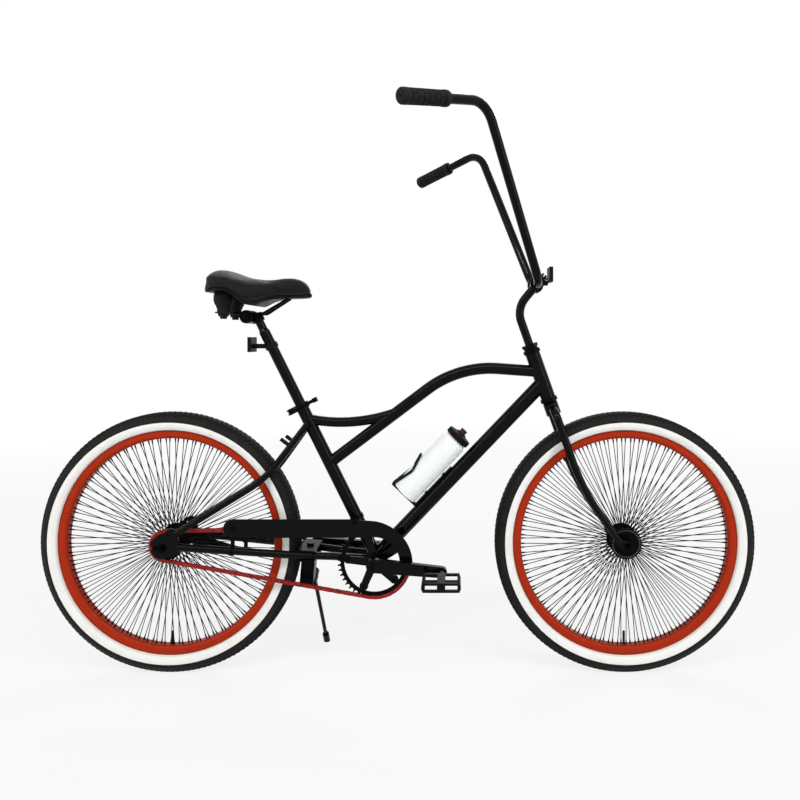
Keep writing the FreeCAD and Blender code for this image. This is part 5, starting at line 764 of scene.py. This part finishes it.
for wheel, axle in WHEELS.items():
    nipples(f"{wheel}_nipples", axle, f"{wheel}_wheel")
    spoke_heads(f"{wheel}_spoke_heads", axle, f"{wheel}_wheel")

# %% [markdown]
# The grips are soft rubber sleeves: a plain rounded collar at each end and rows of small pads between them.
# The pads could be single blocks set on a tube. A turned form whose radius depends on the turn as well cuts
# them apart in one piece, as the mould does.

# %% Grips
GRIP_RADIUS, GRIP_LENGTH, GRIP_STEPS = 17.4, 130, 96
END_PLACES, MOUTH_PLACES = (0, 0, 0.6, 2.2), (128, 129.6, GRIP_LENGTH, GRIP_LENGTH)
FINE_STRETCH, FINE_ROWS = (4, 126), 184
PADS_START, PAD_ROW, PADS_ROUND, PAD_GAP_DEPTH = 20, 15.5, 8, 1.3
PADS_RISE, PADS_FALL = (19.0, 20.2), (112.8, 114)
ROW_GAP, PAD_GAP_SHARES = (0.8, 1.5), (0.05, 0.09)
RIB_HEIGHT, RIB_PITCH = 0.25, 2.6
NECKS, NECK_EDGE, NECK_DEPTH = (18.2, 115.2), (0.6, 1.4), 1.2
PADS_SUNK, COLLAR_RISE, COLLAR_EDGE = 0.5, 0.5, (115.5, 117)
END_ROUND, END_ROUND_REACH = 2.6, (-0.6, 3.4)
MOUTH_ROUND, MOUTH_ROUND_REACH = 1.4, (127, 130.5)
END_HOLE_RADIUS, END_HOLE_DEPTH = 2.6, 3.5
MOUTH_RADIUS, MOUTH_DEPTH = 11.4, 127.0


def near(value, places, edge):
    """1 at each of some places and 0 away from them, with a smooth edge."""
    return np.max([1 - ease(np.abs(value - place), *edge) for place in places], axis=0)


def grip_form():
    """Distances along the grip, its radius there at each turn, and how deep the gaps between pads are.

    The radius is the collar's, less the depth of the gaps between rows and beside pads, plus a cosine of the
    distance for the fine ribs on the pads.
    """
    along = np.concatenate([END_PLACES, np.linspace(*FINE_STRETCH, FINE_ROWS), MOUTH_PLACES])
    turn = np.linspace(0, 2 * np.pi, GRIP_STEPS + 1)
    pads = ease(along, *PADS_RISE) * (1 - ease(along, *PADS_FALL))
    row, within = np.divmod(along - PADS_START, PAD_ROW)
    between = 1 - ease(np.minimum(within, PAD_ROW - within), *ROW_GAP)
    staggered = (turn[None, :] * PADS_ROUND / (2 * np.pi) + 0.5 * row[:, None]) % 1
    beside = 1 - ease(np.minimum(staggered, 1 - staggered), *PAD_GAP_SHARES)
    cut = np.maximum(between[:, None], beside) * pads[:, None]
    ribs = RIB_HEIGHT * np.cos(along * 2 * np.pi / RIB_PITCH)[:, None] * (1 - cut) * pads[:, None]
    collar = GRIP_RADIUS - PADS_SUNK * pads - NECK_DEPTH * near(along, NECKS, NECK_EDGE)
    collar = collar + COLLAR_RISE * ease(along, *COLLAR_EDGE)
    collar = collar - END_ROUND * (1 - ease(along, *END_ROUND_REACH))
    collar = collar - MOUTH_ROUND * ease(along, *MOUTH_ROUND_REACH)
    radius = collar[:, None] - PAD_GAP_DEPTH * cut + ribs
    radius[0] = END_HOLE_RADIUS
    radius[-1] = MOUTH_RADIUS
    return along, radius, cut


along, radius, cut = grip_form()
along = np.concatenate([[END_HOLE_DEPTH, END_HOLE_DEPTH], along, [MOUTH_DEPTH, END_HOLE_DEPTH]])
flat = np.ones((1, GRIP_STEPS + 1))
radius = np.vstack([0 * flat, END_HOLE_RADIUS * flat, radius, MOUTH_RADIUS * flat, 0 * flat])
cut = np.vstack([0 * flat, 0 * flat, cut, 0 * flat, 0 * flat])
print("grip", GRIP_LENGTH, "mm long, points along it", len(along))

# %% [markdown]
# Both grips sit on the ends of the handlebar, each on the line from the bar's end to its upper bend. One of
# them could be mirrored, but a mirror turns faces inside out, so both are laid from the same form.

# %% Grips on the bar
BAR_END, BAR_BEND = np.array((36.77, 386, 1335.59)), np.array((215.77, 215, 1384.19))
BOTH_SIDES = np.array([(1, -1, 1), (1, 1, 1)])
bar_ends, bar_bends = BAR_END * BOTH_SIDES * MM, BAR_BEND * BOTH_SIDES * MM
grip_points = revolve(bar_ends, bar_bends - bar_ends, along * MM, radius * MM, GRIP_STEPS)
grips = lay_grid("padded_grips", grip_points, grip_rubber, "fork", sharp=40, groove=cut)
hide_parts("grips")

# %% [markdown]
# Under the back of the saddle stand two rubber springs: round domes that swell towards the saddle, each on a
# flanged cup with a nut below. The solid has a plain cylinder on a plain cup, so both are turned anew as one
# profile between the same levels, and their place is measured from the solid.

# %% Saddle springs
CUP = np.array([
    (0, 0), (0, 7.4), (1, 8.6), (5.6, 8.6), (6, 8.6), (6.4, 12.5), (12, 13.5), (14, 15), (14.4, 20.5),
    (16.6, 21), (17.4, 20), (18, 16),
])
CUP_HEIGHT, SOLID_CUP_RADIUS, ROOF_GAP = 18, 24, 1
DOME_FOOT, DOME_SWELL, DOME_DRAW, DOME_GROOVE = 15.5, 8.5, 4.5, 0.9
SWELL_SHARES, DRAW_SHARES = (0.02, 0.62), (0.78, 1.1)
GROOVE_SHARES, GROOVE_EDGE_SHARES = (0.16, 0.3), (0.02, 0.05)
SPRING_STEPS = 48
low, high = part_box("saddle_elastomers")
foot, roof = low.z / MM, high.z / MM - ROOF_GAP
share = np.linspace(0, 1, SPRING_STEPS)
dome = DOME_FOOT + DOME_SWELL * ease(share, *SWELL_SHARES) - DOME_DRAW * ease(share, *DRAW_SHARES)
dome = dome - DOME_GROOVE * near(share, GROOVE_SHARES, GROOVE_EDGE_SHARES)
level = foot + CUP_HEIGHT + share * (roof - foot - CUP_HEIGHT)
spring_level = np.concatenate([foot + CUP[:, 0], level, level[-1:]])
spring_radius = np.concatenate([CUP[:, 1], dome, [0]])
spring_x, spring_half = (low.x + high.x) / 2, high.y - SOLID_CUP_RADIUS * MM
springs = [(spring_x, side * spring_half, 0) for side in (-1, 1)]
points = revolve(springs, [(0, 0, 1), (0, 0, 1)], spring_level * MM, spring_radius * MM, SPRING_STEPS)
dome_piece = lay_grid("saddle_bellows", points, tube_rubber, "seat", sharp=40)
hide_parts("saddle_elastomers")

# %% [markdown]
# The saddle itself is foam under stretched vinyl. Sculpting would shape it by hand, but a cloth simulation
# swells it as stuffing does. It starts from a copy of the solid with even small faces, which these helpers
# make: a remesh on a grid of voxels, with the result put into the mesh.


# %% Even copy of a solid
def even_copy(node, name, voxel):
    """A copy of a solid's mesh with its loose triangles merged, remeshed on a grid of equal voxels."""
    mesh = solids[node].data.copy()
    mesh.name = name
    weld(mesh, 0.01 * MM)
    piece = bpy.data.objects.new(name, mesh)
    scene.collection.objects.link(piece)
    remesh = piece.modifiers.new("even_faces", "REMESH")
    remesh.mode, remesh.voxel_size = "VOXEL", voxel
    return bake_down(piece)


def bake_down(piece):
    """Puts the result of a piece's modifiers into its mesh and removes them."""
    graph = bpy.context.evaluated_depsgraph_get()
    mesh = bpy.data.meshes.new_from_object(piece.evaluated_get(graph))
    piece.modifiers.clear()
    piece.data = mesh
    return piece


def coordinates(mesh, what="co", source=None):
    """The points of a mesh, or another value with three numbers for each point, as an array."""
    values = np.empty(len(mesh.vertices) * 3)
    (source or mesh.vertices).foreach_get(what, values)
    return values.reshape(-1, 3)


cushion = even_copy("saddle_cushion", "saddle_padding", voxel=5 * MM)
print("even copy of the cushion, points", len(cushion.data.vertices))

# %% [markdown]
# The copy is drawn in by a few millimetres and blown up by pressure, while its underside is pinned to the
# base. No point may move further than a cap, so that the padding keeps to the solid's size, and one
# subdivision smooths the result.

# %% Saddle cushion
DRAWN_IN, MOST_MOVE = 4 * MM, 6 * MM
UNDERSIDE_SLOPE, PRESSURE, SWELL_FRAMES = -0.35, 4, 20
start = coordinates(cushion.data)
facing = coordinates(cushion.data, "vector", cushion.data.vertex_normals)
seated = facing[:, 2] < UNDERSIDE_SLOPE
inward = np.where(seated, 0.0, DRAWN_IN)[:, None]
cushion.data.vertices.foreach_set("co", (start - facing * inward).ravel())
pins = cushion.vertex_groups.new(name="seated")
pins.add(np.flatnonzero(seated).tolist(), 1.0, "REPLACE")
before = coordinates(cushion.data)
cloth = cushion.modifiers.new("swell", "CLOTH")
cloth.settings.use_pressure = True
cloth.settings.uniform_pressure_force = PRESSURE
cloth.settings.effector_weights.gravity = 0
cloth.settings.vertex_group_mass = "seated"
cloth.point_cache.frame_start, cloth.point_cache.frame_end = 1, SWELL_FRAMES
for moment in range(1, SWELL_FRAMES + 1):
    scene.frame_set(moment)
bake_down(cushion)
scene.frame_set(1)
moved = coordinates(cushion.data) - before
length = np.linalg.norm(moved, axis=1, keepdims=True)
capped = before + moved * np.minimum(1, MOST_MOVE / np.maximum(length, 1e-9))
cushion.data.vertices.foreach_set("co", capped.ravel())
smooth = cushion.modifiers.new("smooth_foam", "SUBSURF")
smooth.levels = smooth.render_levels = 1
bake_down(cushion)
cushion.data.shade_smooth()
cushion.data.materials.clear()
cushion.data.materials.append(vinyl)
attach(cushion, "seat")
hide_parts("saddle_cushion")
print("cushion moved by up to", round(float(length.max()) / MM, 2), "mm before the cap")

# %% [markdown]
# A welt, the thin piped edge that covers a sewn seam, runs round the saddle a little above its base. Its path
# could be drawn point by point. Here it is drawn near the edge from a few shares of the saddle's size, then
# pulled on to the cushion's own surface and softened, so it follows the swollen form.

# %% Path of the welt
SADDLE_FOOT, SADDLE_RISE, WELT_LIFT = 934, 93, 9
WELT_POINTS, WELT_PATH_PASSES, WELT_PASSES = 70, 12, 6
SADDLE_EDGE_SHARES = np.array([
    (0.000, 0.09, 0.32), (0.050, 0.20, 0.28), (0.140, 0.27, 0.27), (0.285, 0.34, 0.25), (0.430, 0.50, 0.16),
    (0.570, 0.76, 0.07), (0.715, 1.00, 0.38), (0.880, 0.97, 0.40), (0.950, 0.80, 0.42), (1.000, 0.44, 0.47),
])


def edge_loop(lift, count):
    """The saddle's lower edge, back along the right side from the nose and forward along the left.

    Length, half width and height are shares of the saddle's own, and the loop has even steps.
    """
    share, half, level = SADDLE_EDGE_SHARES.T
    even = np.linspace(0, 1, count)
    low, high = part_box("saddle_cushion")
    x = (high.x + (low.x - high.x) * even) / MM
    y = high.y / MM * np.interp(even, share, half)
    z = SADDLE_FOOT + SADDLE_RISE * np.interp(even, share, level) + lift
    right = np.stack([x, -y, z], 1)
    left = np.stack([x, y, z], 1)[::-1]
    loop = np.vstack([right, left, right[:1]])
    run = np.concatenate([[0], np.cumsum(np.linalg.norm(np.diff(loop, axis=0), axis=1))])
    where = np.linspace(0, run[-1], 4 * count + 1)
    return np.stack([np.interp(where, run, loop[:, k]) for k in range(3)], 1) * MM


def soften(path, passes):
    """Each point of a closed path moved half way to the middle of its neighbours, several times."""
    ring = path[:-1]
    for _ in range(passes):
        ring = 0.5 * ring + 0.25 * (np.roll(ring, 1, 0) + np.roll(ring, -1, 0))
    return np.vstack([ring, ring[:1]])


faces = [face.vertices for face in cushion.data.polygons]
skin = BVHTree.FromPolygons(coordinates(cushion.data).tolist(), faces)
edge = soften(edge_loop(WELT_LIFT, WELT_POINTS), WELT_PATH_PASSES)
welt_path = soften(np.array([skin.find_nearest(point)[0] for point in edge.tolist()]), WELT_PASSES)
print("points along the welt", len(welt_path))

# %% [markdown]
# The welt itself is a round profile carried along that path. A curve object with a bevel would give the same
# form, but a grid keeps the piece a mesh from the start.

# %% Welt
WELT_RADIUS, WELT_SIDES = 1.5 * MM, 8


def closed_tube(path, radius, sides):
    """A circle stood square to a closed path: path + radius * (side * cos(turn) + rise * sin(turn))."""
    ends = np.vstack([path[-2:-1], path, path[1:2]])
    along = ends[2:] - ends[:-2]
    along /= np.linalg.norm(along, axis=1, keepdims=True)
    side = np.cross(along, (0.0, 0.0, 1.0))
    side /= np.linalg.norm(side, axis=1, keepdims=True)
    rise = np.cross(side, along)
    turn = np.linspace(0, 2 * np.pi, sides + 1)[:, None]
    return path[:, None, :] + radius * (side[:, None] * np.cos(turn) + rise[:, None] * np.sin(turn))


lay_grid("saddle_welt", closed_tube(welt_path, WELT_RADIUS, WELT_SIDES), vinyl, "seat")

# %% [markdown]
# The bottle's cap has a knurled edge for wet hands: sixty shallow waves round its wall. Its roof rises in a
# low cone to a collar round the spout. Cutting the waves one by one would take sixty cuts. As one turned form
# whose wall follows a cosine, the cap needs none.

# %% Bottle cap
DOWN_TUBE_WAY = np.array((0.6916, 0, 0.7223))
BOTTLE_FOOT = np.array((17.986, 0, 455.075)) * MM
CAP_WAVES, WAVE_HEIGHT, CAP_STEPS = 60, 0.45, 240
CAP_OUTLINE = np.array([
    (190.2, 27.2, 0), (190.2, 32.2, 0), (190.6, 32.7, 0.4), (191.4, 33.0, 1), (203.4, 33.0, 1),
    (204.6, 32.4, 0.4), (205.2, 31.2, 0), (208.6, 14.5, 0), (210.6, 13.6, 0), (211.0, 12.6, 0),
    (210.6, 10.4, 0), (205.3, 10.2, 0), (205.2, 6.0, 0), (215.0, 6.0, 0), (215.1, 5.6, 0),
    (215.1, 4.4, 0), (203.2, 4.4, 0), (203.2, 27.2, 0), (190.2, 27.2, 0),
])
along, radius, wave_share = CAP_OUTLINE.T
turn = np.linspace(0, 2 * np.pi, CAP_STEPS + 1)
waves = WAVE_HEIGHT * (1 - np.cos(CAP_WAVES * turn))
knurled = radius[:, None] - wave_share[:, None] * waves[None, :]
cap_points = revolve(BOTTLE_FOOT, DOWN_TUBE_WAY, along * MM, knurled * MM, CAP_STEPS)
cap = lay_grid("knurled_bottle_cap", cap_points, plastic, "bottle")
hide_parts("bottle_cap")

# %% [markdown]
# A pedal grips the shoe with short studs on both faces of its front and rear bars. They could be placed one
# by one. Each is a cone with eight sides, and all of a pedal's are one array of feet and directions, set out
# from the solid's own box.

# %% Pedal studs
STUD = np.array([(-0.6, 0), (-0.6, 2.6), (0.4, 2.4), (2.0, 1.2), (2.2, 0)]) * MM
BAR_INSET, END_INSET, STUDS_ON_BAR = 5 * MM, 6 * MM, 6
STUDS_ON_FACE = 2 * STUDS_ON_BAR


def pedal_studs(name, node):
    """Cones on a grid of 2 bars by 6 places, once on the upper face and once on the lower one."""
    low, high = (np.array(corner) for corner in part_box(node))
    bars = np.array([low[0] + BAR_INSET, high[0] - BAR_INSET])
    places = np.linspace(low[1] + END_INSET, high[1] - END_INSET, STUDS_ON_BAR)
    x, y = (np.tile(grid.ravel(), 2) for grid in np.meshgrid(bars, places))
    feet = np.stack([x, y, np.repeat([low[2], high[2]], STUDS_ON_FACE)], 1)
    ways = np.repeat([[0.0, 0.0, -1.0], [0.0, 0.0, 1.0]], STUDS_ON_FACE, axis=0)
    lay_grid(name, revolve(feet, ways, *STUD.T, steps=8), plastic, node)


pedal_studs("right_pedal_studs", "right_pedal")
pedal_studs("left_pedal_studs", "left_pedal")
